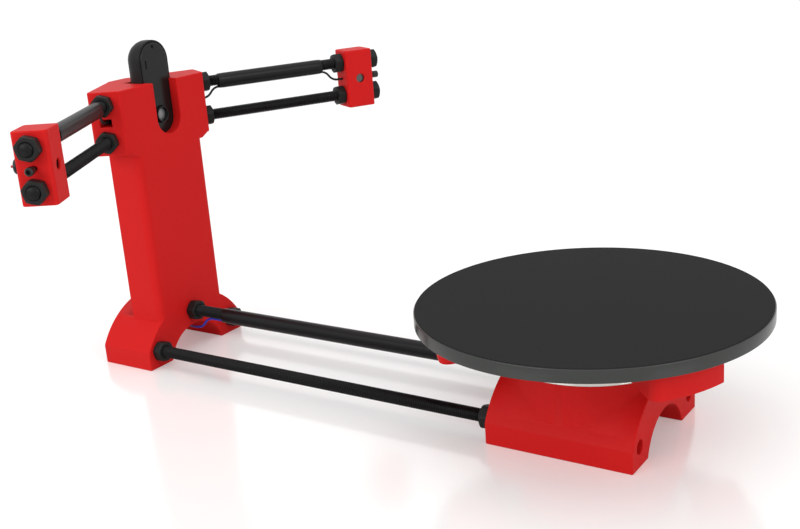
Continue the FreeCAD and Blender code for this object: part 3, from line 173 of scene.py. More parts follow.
nodeFinish = {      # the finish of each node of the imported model
    "motorAluminium": ["motor_front_cap", "motor_rear_cap"],
    "motorSteel": ["motor_stator"],
    "shaftSteel": ["motor_rotor", "motor_bearings", "shaft_set_screw"],
    "connectorWhite": ["motor_connector", "lead_plugs"],
    "bearingSteel": ["bearing_inner_ring", "bearing_balls"],
    "cageBrass": ["bearing_cage"],
    "screwSteel": ["motor_screws", "disc_screws", "board_screws", "driver_trimmer"],
    "boardBlue": ["controller_board", "webcam_board"],
    "boardRed": ["shield_board", "motor_driver"],
    "connectorBlack": ["header_strips", "power_socket", "reset_switch"],
    "socketSteel": ["usb_socket"],
    "sinkAluminium": ["heat_sink"],
    "buttonRed": ["reset_button"],
    "standoffBrass": ["board_standoffs"],
    "laserBlack": ["laser_barrel_near", "laser_barrel_far"],
    "lensGlass": ["laser_lens_near", "laser_lens_far"],
    "leadBlack": ["laser_lead_near", "laser_lead_far"],
    "leadBlue": ["motor_lead"],
    "matBlack": ["disc_mat"],
    "webcamShell": ["webcam_rear_shell"],
    "webcamGloss": ["webcam_bezel", "webcam_lens_barrel"],
    "webcamGlassWithPaintedReflection": ["webcam_lens"],
    "discBlack": ["turntable_disc"],
    "sleeveBlack": ["arm_sleeve_near", "arm_sleeve_far", "base_rod_sleeve"],
    "rodBlack": [name for name in frame["nodes"]
                 if "_rod_" in name and not name.endswith(("nuts", "sleeve"))],
    "nutBlack": ["base_rod_nuts", "arm_rod_nuts"],
    "screwBlack": ["laser_clamp_screws"],
    "printedRed": ["column_frame", "turntable_base", "turntable_carrier",
                   "laser_holder_near", "laser_holder_far"],
}
for finish, names in nodeFinish.items():
    for name in names:
        node = frame["nodes"][name]
        node.data.materials.clear()
        node.data.materials.append(material[finish])
print("materials ready")


# Surfaces: every new shape is a stack of rings of points, worked out as whole arrays

weld = 1e-6      # corners nearer than this are one


def shell(rings, hollow=False):
    # rings (rows, columns, 3): each cell between two rings is a quad, and the columns close round.
    # A hollow stack joins its last ring to its first; otherwise each end ring is one face.
    rows, columns = rings.shape[:2]
    index = np.arange(rows * columns).reshape(rows, columns)
    after = np.vstack([index[1:], index[:1]]) if hollow else index[1:]
    low = index if hollow else index[:-1]
    quads = np.stack([low, np.roll(low, -1, 1), np.roll(after, -1, 1), after], -1).reshape(-1, 4).tolist()
    caps = [] if hollow else [index[0].tolist(), index[-1].tolist()]
    return rings.reshape(-1, 3), quads + caps


def buildPiece(name, shells, finish, body, stands=(), sharp=35):
    # closed shells joined into one mesh that rides on body and stands for the nodes in stands
    points, faces, first = [], [], 0
    for corners, cells in shells:
        points.append(corners)
        faces += [[first + corner for corner in cell] for cell in cells]
        first += len(corners)
    mesh = bpy.data.meshes.new(name)
    mesh.from_pydata(np.concatenate(points), [], faces)
    shape = bmesh.new()
    shape.from_mesh(mesh)
    bmesh.ops.remove_doubles(shape, verts=shape.verts, dist=weld)
    bmesh.ops.recalc_face_normals(shape, faces=shape.faces)
    shape.to_mesh(mesh)
    shape.free()
    dressPiece(bpy.data.objects.new(name, mesh), finish, body, stands, sharp)


def dressPiece(piece, finish, body, stands, sharp):
    # smooth shading up to sharp degrees, the finish, and what the piece rides on and stands for
    bpy.context.scene.collection.objects.link(piece)
    piece.data.polygons.foreach_set("use_smooth", np.ones(len(piece.data.polygons), bool))
    piece.data.set_sharp_from_angle(angle=np.radians(sharp))
    piece.data.materials.clear()
    piece.data.materials.append(material[finish])
    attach(piece, body)
    if stands:
        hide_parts(*stands)


def axes(origin, along, wide=(0, 0, 1)):
    # a place to build in: columns are two sideways directions and the direction that a stack grows in
    along = np.array(along, float) / np.linalg.norm(along)
    wide = np.array(wide, float) - np.dot(wide, along) * along
    wide /= np.linalg.norm(wide)
    return np.array(origin, float), np.stack([wide, np.cross(along, wide), along])


def turned(place, profile, around=48, hollow=False):
    # a turned shape: each profile point (height, radius) becomes a circle about the place's axis
    origin, basis = place
    heights, radii = np.array(profile, float).T
    angle = full * np.arange(around) / around
    local = np.stack([radii[:, None] * np.cos(angle), radii[:, None] * np.sin(angle),
                      np.repeat(heights[:, None], around, 1)], -1)
    return shell(origin + local @ basis, hollow)


def roundedLoop(halfWide, halfTall, corner, inset, steps):
    # a rounded rectangle shrunk by inset: four quarter circles about the corners of the rectangle inside it
    radius = max(corner - inset, weld)
    quarter = np.linspace(0, np.pi / 2, steps)
    angle = np.concatenate([quarter + turn * np.pi / 2 for turn in range(4)])
    across = np.repeat([1, -1, -1, 1], steps) * max(halfWide - inset - radius, 0)
    up = np.repeat([1, 1, -1, -1], steps) * max(halfTall - inset - radius, 0)
    return np.stack([across + radius * np.cos(angle), up + radius * np.sin(angle)], -1)


def stacked(place, halfWide, halfTall, corner, stations, steps):
    # rounded rectangles in mm stacked along the place's axis, one for each station (height, inset)
    origin, basis = place
    rings = [np.column_stack([roundedLoop(halfWide, halfTall, corner, inset, steps),
                              np.full(4 * steps, height)]) for height, inset in stations]
    return shell(origin + np.array(rings) * mm @ basis)


# weld is in metres; flat, corner and sharp are the degrees that count as flat, to be rounded and shaded sharp
moulded = {"weld": 2e-6, "flat": 0.4, "corner": 50, "segments": 3, "sharp": 30}


def softenedCopy(node, name, width, finish):
    # a copy of a moulded piece: loose triangles merged, flat faces joined, then its outward edges rounded
    source = frame["nodes"][node]
    copy = bpy.data.objects.new(name, source.data.copy())
    shape = bmesh.new()
    shape.from_mesh(copy.data)
    bmesh.ops.remove_doubles(shape, verts=shape.verts, dist=moulded["weld"])
    bmesh.ops.dissolve_limit(shape, angle_limit=np.radians(moulded["flat"]), verts=shape.verts,
                             edges=shape.edges)
    weight = shape.edges.layers.float.new("bevel_weight_edge")
    for edge in shape.edges:
        if edge.is_convex and edge.calc_face_angle(0.0) > np.radians(moulded["corner"]):
            edge[weight] = 1.0
    shape.to_mesh(copy.data)
    shape.free()
    dressPiece(copy, finish, source["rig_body"], [node], moulded["sharp"])
    bevel = copy.modifiers.new("easedEdges", "BEVEL")
    bevel.width = width * mm
    bevel.segments = moulded["segments"]
    bevel.limit_method = "WEIGHT"
    bevel.use_clamp_overlap = False
    shading = copy.modifiers.new("flatFaces", "WEIGHTED_NORMAL")      # large flat faces shade flat
    shading.keep_sharp = True


# Red printed pieces

softEdges = {      # each print and the radius of its edges in mm
    "column_frame": 0.6,
    "turntable_base": 0.6,
    "turntable_carrier": 0.6,
    "laser_holder_near": 0.8,
    "laser_holder_far": 0.8,
}
for node, width in softEdges.items():
    softenedCopy(node, node + "_print", width, "printedRed")
print("printed pieces done")


# Threaded rods

thread = {"pitch": 1.25, "depth": 0.62, "steps": 6, "around": 20, "lead": 0.8, "sharp": 60}


def threadedRod(start, end, radius):
    # radius = crest - depth * (1 - cos(turns along the rod - turn round it)) / 2, cut to a cone at each end
    start, end = np.array(start), np.array(end)
    length = np.linalg.norm(end - start)
    origin, basis = axes(start, end - start)
    along = np.linspace(0, length, int(length / (thread["pitch"] * mm) * thread["steps"]))
    angle = full * np.arange(thread["around"]) / thread["around"]
    phase = full * along[:, None] / (thread["pitch"] * mm) - angle
    wave = radius - thread["depth"] * mm * (1 - np.cos(phase)) / 2
    fromEnd = np.minimum(along, length - along)[:, None]
    wave = np.minimum(wave, radius - thread["lead"] * mm + fromEnd)
    local = np.stack([wave * np.cos(angle), wave * np.sin(angle),
                      np.repeat(along[:, None], thread["around"], 1)], -1)
    return shell(origin + local @ basis)


baseRods = {side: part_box(f"base_rod_{side}") for side in ("near", "middle", "far")}
rodRadius = (baseRods["near"][1].z - baseRods["near"][0].z) / 2
rodPlaces = {}
for side, (low, high) in baseRods.items():
    centre = (low + high) / 2
    rodPlaces[side] = (centre.y, centre.z)
    buildPiece(f"threaded_base_rod_{side}",
               [threadedRod((low.x, centre.y, centre.z), (high.x, centre.y, centre.z), rodRadius)],
               "rodBlack", "stand", [f"base_rod_{side}"], thread["sharp"])

arms = {}
for joint in frame["joints"]:
    if joint["name"] in ("laser_near_roll", "laser_far_roll"):
        side = joint["name"].split("_")[1]
        beam = np.array(joint["axis"], float)
        out = np.array([beam[1], -beam[0], 0]) * (1 if side == "near" else -1)
        arms[side] = {"laser": np.array(joint["pos_m"]), "out": out, "beam": beam}
armLow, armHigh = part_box("arm_rod_near_upper")
upperZ = (armLow.z + armHigh.z) / 2
for side, arm in arms.items():
    arm["upper"] = upperZ
    arm["lower"] = 2 * arm["laser"][2] - upperZ


def onArm(side, reach, z):
    # a point on an arm: reach is the distance outward from the laser's axis
    arm = arms[side]
    return np.array([*(arm["laser"] + arm["out"] * reach)[:2], z])


# distances in mm along an arm, outward from the laser's axis
armReach = {"start": -143.05, "end": 18.75, "headNut": -122.15, "innerNut": -17.25, "outerNut": 10.75,
            "sleeveStart": -108.05, "sleeveEnd": -27.55}
for side, arm in arms.items():
    for level in ("upper", "lower"):
        ends = [onArm(side, armReach[key] * mm, arm[level]) for key in ("start", "end")]
        buildPiece(f"threaded_arm_rod_{side}_{level}", [threadedRod(*ends, rodRadius)],
                   "rodBlack", "stand", [f"arm_rod_{side}_{level}"], thread["sharp"])
print("rods threaded")


# Nuts

nutForm = {"acrossFlats": 13.0, "thick": 6.5, "turn": np.radians(15), "face": 6.15, "bore": 4.05,
           "mouth": 4.45, "mouthDeep": 0.4, "slope": 1.73, "around": 72,
           "cuts": (0.0, 0.1, 0.22, 0.36, 0.52, 0.7), "sharp": 22}


def hexNut(place):
    # a ring's radius is the hexagon's, half the flats / cos(angle from a flat's middle),
    # or the chamfer cone's, face + slope * depth, if that is less
    origin, basis = place
    angle = full * np.arange(nutForm["around"]) / nutForm["around"]
    fromFlat = (angle - nutForm["turn"]) % (full / 6) - full / 12
    flats = nutForm["acrossFlats"] / 2 / np.cos(fromFlat)
    thick = nutForm["thick"]
    cone = [(depth, np.minimum(flats, nutForm["face"] + nutForm["slope"] * depth))
            for depth in nutForm["cuts"]]
    hole = [(nutForm["mouthDeep"], nutForm["bore"]), (0.0, nutForm["mouth"])]
    half = [(depth, np.full(len(angle), radius)) for depth, radius in hole] + cone
    whole = half + [(thick - depth, radii) for depth, radii in half[::-1]]
    rings = np.array([np.stack([radii * np.cos(angle), radii * np.sin(angle), np.full(len(angle), depth)], -1)
                      for depth, radii in whole]) * mm
    return shell(origin + rings @ basis, hollow=True)


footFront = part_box("column_frame")[1].x
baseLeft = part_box("turntable_base")[0].x
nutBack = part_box("base_rod_nuts")[0].x
baseNuts = [hexNut(axes((x, y, z), (1, 0, 0)))
            for y, z in rodPlaces.values() for x in (nutBack, footFront, baseLeft - nutForm["thick"] * mm)]
buildPiece("base_nuts", baseNuts, "nutBlack", "stand", ["base_rod_nuts"], nutForm["sharp"])
armNuts = [hexNut(axes(onArm(side, armReach[key] * mm, arm[level]), arm["out"]))
           for side, arm in arms.items() for level in ("upper", "lower")
           for key in ("headNut", "innerNut", "outerNut")]
buildPiece("arm_nuts", armNuts, "nutBlack", "stand", ["arm_rod_nuts"], nutForm["sharp"])
print("nuts done")


# Sleeves that hold a lead under a rod

sleeveForm = {"half": 4.5, "wall": 0.4, "drop": 1.7, "slack": 0.1, "lip": 0.25, "lipLength": 1.2, "steps": 9,
              "rows": 40, "sharp": 50}


def leadSleeve(start, end):
    # an upright round ended section carried along the rod and back inside, narrower near its mouths:
    # outer radius = half - lip * exp(-distance from the nearer mouth / lipLength)
    along = np.array(end) - start
    length = np.linalg.norm(along) / mm
    basis = np.stack([np.cross((0, 0, 1), along / np.linalg.norm(along)), np.array([0, 0, 1.0]),
                      along / np.linalg.norm(along)])
    stations = np.linspace(0, length, sleeveForm["rows"])
    lip = sleeveForm["lip"] * np.exp(-np.minimum(stations, length - stations) / sleeveForm["lipLength"])
    inner = sleeveForm["half"] - sleeveForm["wall"]
    path = [(height, sleeveForm["half"] - drawn) for height, drawn in zip(stations, lip)]
    path += [(height, inner) for height in stations[::-1]]
    rings = []
    for height, radius in path:
        loop = roundedLoop(radius, radius + sleeveForm["drop"] / 2, radius, 0.0, sleeveForm["steps"])
        rings.append(np.column_stack([loop - [0, sleeveForm["drop"] / 2], np.full(len(loop), height)]))
    return shell(start + np.array(rings) * mm @ basis, hollow=True)


slack = sleeveForm["slack"] * mm
for side, arm in arms.items():
    ends = [onArm(side, armReach[key] * mm, arm["upper"] + slack) for key in ("sleeveStart", "sleeveEnd")]
    buildPiece(f"sleeve_arm_{side}", [leadSleeve(*ends)], "sleeveBlack", "stand", [f"arm_sleeve_{side}"],
               sleeveForm["sharp"])
low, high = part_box("base_rod_sleeve")
ends = [np.array([x, rodPlaces["middle"][0], rodPlaces["middle"][1] + slack]) for x in (low.x, high.x)]
buildPiece("sleeve_base", [leadSleeve(*ends)], "sleeveBlack", "stand", ["base_rod_sleeve"],
           sleeveForm["sharp"])
print("sleeves done")


# Turntable: disc with an eased polished rim, fine mat, bright bearing ring

def ringProfile(low, high, inner, outer, edge, steps):
    # a rectangle from inner to outer radius and from low to high, its corners quarter circles
    quarter = np.linspace(0, np.pi / 2, steps)
    corners = [(high - edge, outer - edge, 0), (high - edge, inner + edge, np.pi / 2),
               (low + edge, inner + edge, np.pi), (low + edge, outer - edge, 1.5 * np.pi)]
    return [(height + edge * np.sin(a + quart), radius + edge * np.cos(a + quart))
            for height, radius, quart in corners for a in quarter]


discForm = {"edge": 0.5, "matEdge": 0.3, "steps": 5, "around": 256, "sharp": 60,
            "ringInside": 47.8, "ringEdge": 0.6, "ringSteps": 4, "ringAround": 160, "ringSharp": 40}
low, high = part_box("turntable_disc")
discRadius = (high.x - low.x) / 2
axisPoint = ((low.x + high.x) / 2, 0, 0)
upward = axes(axisPoint, (0, 0, 1), (1, 0, 0))
edge = discForm["edge"] * mm
quarter = np.linspace(0, np.pi / 2, discForm["steps"])      # each eased edge is a quarter circle, then turned
rim = [(low.z + edge * (1 - np.cos(a)), discRadius - edge * (1 - np.sin(a))) for a in quarter]
rim += [(high.z - edge * (1 - np.cos(a)), discRadius - edge * (1 - np.sin(a))) for a in quarter[::-1]]
buildPiece("disc_plate", [turned(upward, rim, discForm["around"])], "discBlack", "turntable",
           ["turntable_disc"], discForm["sharp"])
low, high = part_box("disc_mat")
edge = discForm["matEdge"] * mm
matRadius = (high.x - low.x) / 2
rim = [(low.z, matRadius)] + [(high.z - edge * (1 - np.cos(a)), matRadius - edge * (1 - np.sin(a)))
                              for a in quarter[::-1]]
buildPiece("disc_mat_top", [turned(upward, rim, discForm["around"])], "matBlack", "turntable", ["disc_mat"],
           discForm["sharp"])
low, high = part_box("bearing_outer_ring")
ring = ringProfile(low.z, high.z, discForm["ringInside"] * mm, (high.x - low.x) / 2,
                   discForm["ringEdge"] * mm, discForm["ringSteps"])
buildPiece("bearing_bright_ring", [turned(upward, ring, discForm["ringAround"], hollow=True)], "bearingSteel",
           "turntable", ["bearing_outer_ring"], discForm["ringSharp"])
print("turntable done")


# Webcam: cup shaped rear shell, bezel, hooded lens

webcamForm = {"wall": 1.6, "lipBack": 0.6, "lipEase": 0.5, "lipSteps": 4, "seam": 0.2, "recess": 4.2,
              "round": 11.5, "steps": 14, "backSteps": 9, "bezelEdge": 0.7, "hoodEase": 0.3, "hoodFit": 0.05,
              "hoodAround": 64, "lensRim": 0.1, "lensCrown": 0.9, "lensPole": 0.02, "lensSteps": 9,
              "lensAround": 48, "sharp": 40}


def cupStations(depth, bezelInset):
    # (depth from front, inset) along the inside wall from back to lip, then along the outside to the back.
    # The back's corner is a quarter circle, of radius round outside and round - wall inside
    wall, ease, lip = webcamForm["wall"], webcamForm["lipEase"], webcamForm["lipBack"]
    turn = np.linspace(0, np.pi / 2, webcamForm["backSteps"])
    bend = webcamForm["round"]
    outside = [(depth - bend + bend * np.sin(a), bend * (1 - np.cos(a))) for a in turn]
    inside = [(depth - bend + (bend - wall) * np.sin(a), bend - (bend - wall) * np.cos(a)) for a in turn]
    seat = bezelInset - webcamForm["seam"]
    recess = webcamForm["recess"]
    front = [(recess, wall), (recess, seat), (lip + ease / 2, seat), (lip, seat - ease / 2)]
    lipTurn = np.linspace(0, np.pi / 2, webcamForm["lipSteps"])
    edge = [(lip + ease * (1 - np.cos(a)), ease * (1 - np.sin(a))) for a in lipTurn]
    return inside[::-1] + front + edge + outside


def buildWebcam():
    # the cup is cupStations stacked, the hood a turned tube with eased rims, and the lens a turned parabola:
    # height = rim + crown * (1 - share of the radius squared)
    low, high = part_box("webcam_rear_shell")
    bezelLow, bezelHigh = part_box("webcam_bezel")
    front = bezelHigh.x
    centre = (low + high) / 2
    half, tall = (high.y - low.y) / 2 / mm, (high.z - low.z) / 2 / mm
    place = axes((front, centre.y, centre.z), (-1, 0, 0), (0, 1, 0))
    rings = cupStations((front - low.x) / mm, (bezelLow.y - low.y) / mm)
    cup = stacked(place, half, tall, half, rings, webcamForm["steps"])
    buildPiece("webcam_back_cup", [cup], "webcamShell", "stand", ["webcam_rear_shell"], webcamForm["sharp"])
    softenedCopy("webcam_bezel", "webcam_front_bezel", webcamForm["bezelEdge"], "webcamGloss")
    low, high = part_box("webcam_lens_barrel")
    lensLow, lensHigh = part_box("webcam_lens")
    radius, bore = (high.z - low.z) / 2 / mm, (lensHigh.z - lensLow.z) / 2 / mm
    length, floor, ease = (high.x - low.x) / mm, (lensLow.x - low.x) / mm, webcamForm["hoodEase"]
    middle = ((lensLow.y + lensHigh.y) / 2, (lensLow.z + lensHigh.z) / 2)
    inside, third = bore + webcamForm["hoodFit"], ease * 0.3
    profile = [(0, radius), (length - ease, radius), (length - third, radius - third),
               (length, radius - ease), (length, bore + ease), (length - ease, inside), (floor, inside)]
    hood = turned(axes((low.x, *middle), (1, 0, 0)), np.array(profile) * mm, webcamForm["hoodAround"])
    buildPiece("webcam_hood", [hood], "webcamGloss", "stand", ["webcam_lens_barrel"], webcamForm["sharp"])
    share = np.linspace(1, webcamForm["lensPole"], webcamForm["lensSteps"])
    rise = webcamForm["lensRim"] + webcamForm["lensCrown"] * (1 - share ** 2)
    dome = np.vstack([(0, bore), np.column_stack([rise, bore * share])])
    eye = turned(axes((lensLow.x, *middle), (1, 0, 0)), dome * mm, webcamForm["lensAround"])
    buildPiece("webcam_eye", [eye], "webcamGlassWithPaintedReflection", "stand", ["webcam_lens"], webcamForm["sharp"])


buildWebcam()
print("webcam done")


# Lasers: stepped barrel with a wire tail, and a socket screw that clamps it

# radii and lengths in mm; tail, tailBore, neck and head are radii, and socket is a width across flats
laserForm = {"edge": 0.5, "tail": 4.4, "tailLength": 3.6, "tailRecess": 1.4, "tailBore": 2.8, "tailLip": 0.2,
             "groove": 0.35, "grooveSlope": 0.1, "grooveWide": 0.5, "around": 56,
             "wireRadius": 0.75, "wireOut": 2.6, "wireEase": 0.3, "wireAround": 20, "wireSharp": 40,
             "sharp": 30}
screwForm = {"neck": 1.5, "neckLength": 3.6, "head": 2.5, "headLength": 4.4, "headEdge": 0.45, "knurls": 30,
             "knurlDeep": 0.09, "socket": 2.5, "socketDeep": 2.2, "socketEase": 0.15, "socketMouth": 1.06,
             "around": 120}


def laserBarrel(place, length, radius):
    # a turned barrel: a narrower recessed tail with one groove, then the body, with eased rims
    edge, bore, lip = laserForm["edge"], laserForm["tailBore"], laserForm["tailLip"]
    tail, step = laserForm["tail"], laserForm["tailLength"]
    cut, slope, deep = step / 2, laserForm["grooveSlope"], tail - laserForm["groove"]
    cutEnd = cut + slope + laserForm["grooveWide"]
    profile = [(laserForm["tailRecess"], bore), (lip, bore), (0, bore + lip), (0, tail - edge), (edge, tail),
               (cut, tail), (cut + slope, deep), (cutEnd, deep), (cutEnd + slope, tail), (step, tail),
               (step, radius - edge), (step + edge, radius), (length - edge, radius), (length, radius - edge)]
    return turned(place, np.array(profile) * mm, laserForm["around"])


def socketScrew(place):
    # a neck, then a knurled head with a hexagon sunk in its end:
    # radius = head - depth * (1 + cos(knurls * angle)) / 2
    origin, basis = place
    angle = full * np.arange(screwForm["around"]) / screwForm["around"]
    start, edge = screwForm["neckLength"], screwForm["headEdge"]
    length = start + screwForm["headLength"]
    knurl = screwForm["head"] - screwForm["knurlDeep"] * (1 + np.cos(screwForm["knurls"] * angle)) / 2
    neck = np.full(len(angle), screwForm["neck"])
    smooth = np.full(len(angle), screwForm["head"] - edge)
    hexagon = screwForm["socket"] / 2 / np.cos((angle + full / 12) % (full / 6) - full / 12)
    levels = [(0, neck), (start, neck), (start, knurl), (length - edge, knurl), (length, smooth),
              (length, hexagon * screwForm["socketMouth"]), (length - screwForm["socketEase"], hexagon),
              (length - screwForm["socketDeep"], hexagon)]
    rings = np.array([np.stack([wide * np.cos(angle), wide * np.sin(angle), np.full(len(angle), height)], -1)
                      for height, wide in levels]) * mm
    return shell(origin + rings @ basis)


screwHeads = []
for side, arm in arms.items():
    low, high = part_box(f"laser_barrel_{side}")
    radius = (high.z - low.z) / 2 / mm
    flatBeam = np.abs(arm["beam"])      # the box is length * beam + 2 * radius * its sideways share long
    length = ((high.x - low.x) / mm - 2 * radius * flatBeam[1]) / flatBeam[0]
    middle = np.array([*((low + high) / 2)])
    rear = middle - arm["beam"] * length / 2 * mm
    buildPiece(f"laser_{side}_barrel", [laserBarrel(axes(rear, arm["beam"]), length, radius)], "laserBlack",
               f"laser_{side}", [f"laser_barrel_{side}"], laserForm["sharp"])
    thick, out, ease = laserForm["wireRadius"], laserForm["wireOut"], laserForm["wireEase"]
    wire = np.array([(laserForm["tailRecess"], thick), (ease - out, thick), (-out, thick - ease)])
    buildPiece(f"laser_{side}_wire", [turned(axes(rear, arm["beam"]), wire * mm, laserForm["wireAround"])],
               "leadRed", f"laser_{side}", (), laserForm["wireSharp"])
    screwHeads.append(socketScrew(axes(onArm(side, armReach["outerNut"] * mm, arm["laser"][2]), arm["out"])))
buildPiece("clamp_screw_heads", screwHeads, "screwBlack", "stand", ["laser_clamp_screws"], laserForm["sharp"])
print("lasers done")


# Boards behind the column: strips, pins, cans, chips and a terminal

# in mm: y, then height above the shield's lower edge; wide is along y, tall along z, up is off the board
boardForm = {
    "pinPitch": 2.54, "pinWide": 0.64, "pinUp": 5.8, "pinEase": 0.15,
    "stripWide": 2.5, "stripUp": 2.5, "stripEase": 0.2,
    "strips": ((-23.6, 12, 16), (23.6, 12, 16), (-11.6, 26, 8), (11.6, 40, 6)),      # y, first pin, pins
    "cans": ((17.0, 22.0), (17.0, 30.5), (-17.5, 22.0)),
    "can": ((0, 3.1), (0.7, 3.3), (1.2, 3.1), (6.4, 3.3), (6.8, 2.9)),      # height, radius
    "canTop": ((6.7, 2.8), (6.95, 2.7), (7.0, 2.4)),
    "canAround": 32,
    "chips": ((-17.5, 34, 5, 4), (17.5, 41, 4, 5), (-5.0, 54, 7, 5), (6.0, 56, 4, 4)),      # y, z, wide, tall
    "chipUp": 1.4, "chipEase": 0.25,
    "smallChips": {"y": -20, "z": 44, "stepY": 3.1, "stepZ": 3.4, "inRow": 4, "count": 12},
    "smallChip": (1.8, 1.0, 0.6, 0.1),      # wide, tall, up, ease
    "terminalY": (-2.55, 2.55), "terminalZ": 5.0, "terminal": (5.0, 8.0, 9.0, 0.4),
    "terminalScrew": ((8.9, 1.5), (9.25, 1.5), (9.4, 1.3)), "screwAround": 24,
}


def buildBoardPieces():
    # blocks are rounded rectangles stacked away from the shield's back face, and cans and screws are turned
    low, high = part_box("shield_board")
    bottom = low.z / mm

    def outward(y, z):
        return axes((low.x, y * mm, (bottom + z) * mm), (-1, 0, 0), (0, 1, 0))

    def block(y, z, wide, tall, up, ease):
        stations = ((0, 0), (up - ease, 0), (up - ease * 0.3, ease * 0.3), (up, ease))
        return stacked(outward(y, z), wide / 2, tall / 2, ease, stations, 3)

    def turnedAt(y, z, profile, around):
        return turned(outward(y, z), np.array(profile) * mm, around)

    pitch, pinWide, stripUp = boardForm["pinPitch"], boardForm["pinWide"], boardForm["stripUp"]
    strips, pins = [], []
    for y, first, count in boardForm["strips"]:
        strips.append(block(y, first + pitch * (count - 1) / 2, boardForm["stripWide"], pitch * count,
                            stripUp, boardForm["stripEase"]))
        pins += [block(y, first + pitch * i, pinWide, pinWide, stripUp + boardForm["pinUp"],
                       boardForm["pinEase"]) for i in range(count)]
    buildPiece("shield_strips", strips, "connectorBlack", "stand")
    buildPiece("shield_pins", pins, "goldPin", "stand")
    for name, form, finish in (("shield_cans", "can", "canSleeve"),
                               ("shield_can_tops", "canTop", "canAluminium")):
        cans = [turnedAt(y, z, boardForm[form], boardForm["canAround"]) for y, z in boardForm["cans"]]
        buildPiece(name, cans, finish, "stand")
    chips = [block(*form, boardForm["chipUp"], boardForm["chipEase"]) for form in boardForm["chips"]]
    grid = boardForm["smallChips"]
    for i in range(grid["count"]):
        row, place = divmod(i, grid["inRow"])
        chips.append(block(grid["y"] + grid["stepY"] * place, grid["z"] + grid["stepZ"] * row,
                           *boardForm["smallChip"]))
    buildPiece("shield_chips", chips, "chipBlack", "stand")
    height = boardForm["terminalZ"]
    buildPiece("shield_terminal", [block(y, height, *boardForm["terminal"]) for y in boardForm["terminalY"]],
               "terminalGreen", "stand")
    screws = [turnedAt(y, height, boardForm["terminalScrew"], boardForm["screwAround"])
              for y in boardForm["terminalY"]]
    buildPiece("terminal_screws", screws, "screwSteel", "stand")


buildBoardPieces()
print("board pieces done")


# Floor, background, lights and camera

floorForm = {"reach": 6.0, "colour": (0.9, 0.9, 0.89, 1), "rough": 0.15, "ior": 2.0, "lift": 0.22}


def buildStage():
    # a white floor; the camera alone sees it a little lighter, so that it stays white and keeps the shadows
    floor = bpy.data.meshes.new("floor")
    reach = floorForm["reach"]
    floor.from_pydata([(-reach, -reach, 0), (reach, -reach, 0), (reach, reach, 0), (-reach, reach, 0)], [],
                      [(0, 1, 2, 3)])
    plane = bpy.data.objects.new("floor", floor)
    bpy.context.scene.collection.objects.link(plane)
    paint = bpy.data.materials.new("whiteFloor")
    paint.use_nodes = True
    nodes, links = paint.node_tree.nodes, paint.node_tree.links
    shader = nodes["Principled BSDF"]
    shader.inputs["Base Color"].default_value = floorForm["colour"]
    shader.inputs["Roughness"].default_value = floorForm["rough"]
    shader.inputs["IOR"].default_value = floorForm["ior"]
    path = nodes.new("ShaderNodeLightPath")
    glow = nodes.new("ShaderNodeEmission")
    lift = nodes.new("ShaderNodeMath")
    lift.operation = "MULTIPLY"
    lift.inputs[1].default_value = floorForm["lift"]
    links.new(path.outputs["Is Camera Ray"], lift.inputs[0])
    links.new(lift.outputs["Value"], glow.inputs["Strength"])
    add = nodes.new("ShaderNodeAddShader")
    links.new(shader.outputs["BSDF"], add.inputs[0])
    links.new(glow.outputs["Emission"], add.inputs[1])
    links.new(add.outputs["Shader"], nodes["Material Output"].inputs["Surface"])
    floor.materials.append(paint)


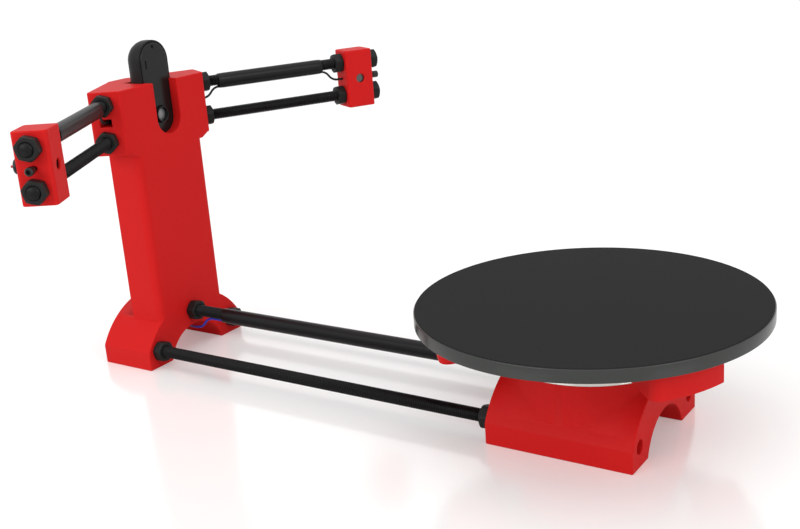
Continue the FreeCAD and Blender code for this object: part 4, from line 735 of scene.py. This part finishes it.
def buildWorld():
    # white where the camera, a gloss or a glass sees it, and the ambient level where it lights the object
    world = bpy.data.worlds.new("studio")
    bpy.context.scene.world = world
    world.use_nodes = True
    nodes, links = world.node_tree.nodes, world.node_tree.links
    path = nodes.new("ShaderNodeLightPath")
    seen = path.outputs["Is Camera Ray"]
    for output in ("Is Glossy Ray", "Is Transmission Ray"):
        either = nodes.new("ShaderNodeMath")
        either.operation = "MAXIMUM"
        links.new(seen, either.inputs[0])
        links.new(path.outputs[output], either.inputs[1])
        seen = either.outputs["Value"]
    level = nodes.new("ShaderNodeMapRange")
    level.inputs["To Min"].default_value = lights["ambient"]
    level.inputs["To Max"].default_value = 1.0
    links.new(seen, level.inputs["Value"])
    links.new(level.outputs["Result"], nodes["Background"].inputs["Strength"])
    nodes["Background"].inputs["Color"].default_value = (1, 1, 1, 1)


def areaLight(name, place, aim, size, power):
    # a rectangular lamp at place that faces aim, with its size in metres and its power in watts
    lamp = bpy.data.lights.new(name, "AREA")
    lamp.shape = "RECTANGLE"
    lamp.size, lamp.size_y = size
    lamp.energy = power
    holder = bpy.data.objects.new(name, lamp)
    bpy.context.scene.collection.objects.link(holder)
    holder.location = place
    holder.rotation_euler = (Vector(aim) - Vector(place)).to_track_quat("-Z", "Y").to_euler()


lights = {
    "ambient": 0.66,
    "above": {"place": (0.0, -0.1, 1.5), "aim": (0, 0, 0.05), "size": (1.6, 1.2), "power": 4.5},
    "left": {"place": (-0.3, -1.35, 0.8), "aim": (0, 0, 0.1), "size": (0.9, 0.7), "power": 6.0},
    "right": {"place": (1.5, -0.4, 0.8), "aim": (0, 0, 0.05), "size": (0.7, 0.7), "power": 5.0},
}
buildStage()
buildWorld()
for name in ("above", "left", "right"):
    areaLight(name, **lights[name])

photoView = {      # the camera fitted to the photograph: metres, directions, and a focal length in pixels
    "place": (0.39005, -0.5651, 0.2991),
    "right": (0.83374, 0.54719, -0.0739),
    "up": (-0.1054, 0.2891, 0.95148),
    "pixelFocus": 1158.468,
    "pixelWidth": 800,
    "sensor": 36.0,
    "nearest": 0.02,
}
camera = bpy.data.cameras.new("camera")
camera.sensor_width = photoView["sensor"]
camera.lens = photoView["pixelFocus"] * photoView["sensor"] / photoView["pixelWidth"]
camera.clip_start = photoView["nearest"]
viewer = bpy.data.objects.new("camera", camera)
bpy.context.scene.collection.objects.link(viewer)
right = Vector(photoView["right"]).normalized()
back = right.cross(Vector(photoView["up"])).normalized()
up = back.cross(right)
viewer.matrix_world = Matrix.Translation(photoView["place"]) @ Matrix((right, up, back)).transposed().to_4x4()
bpy.context.scene.camera = viewer
bpy.context.scene.view_settings.view_transform = "Standard"
print("stage and camera set")
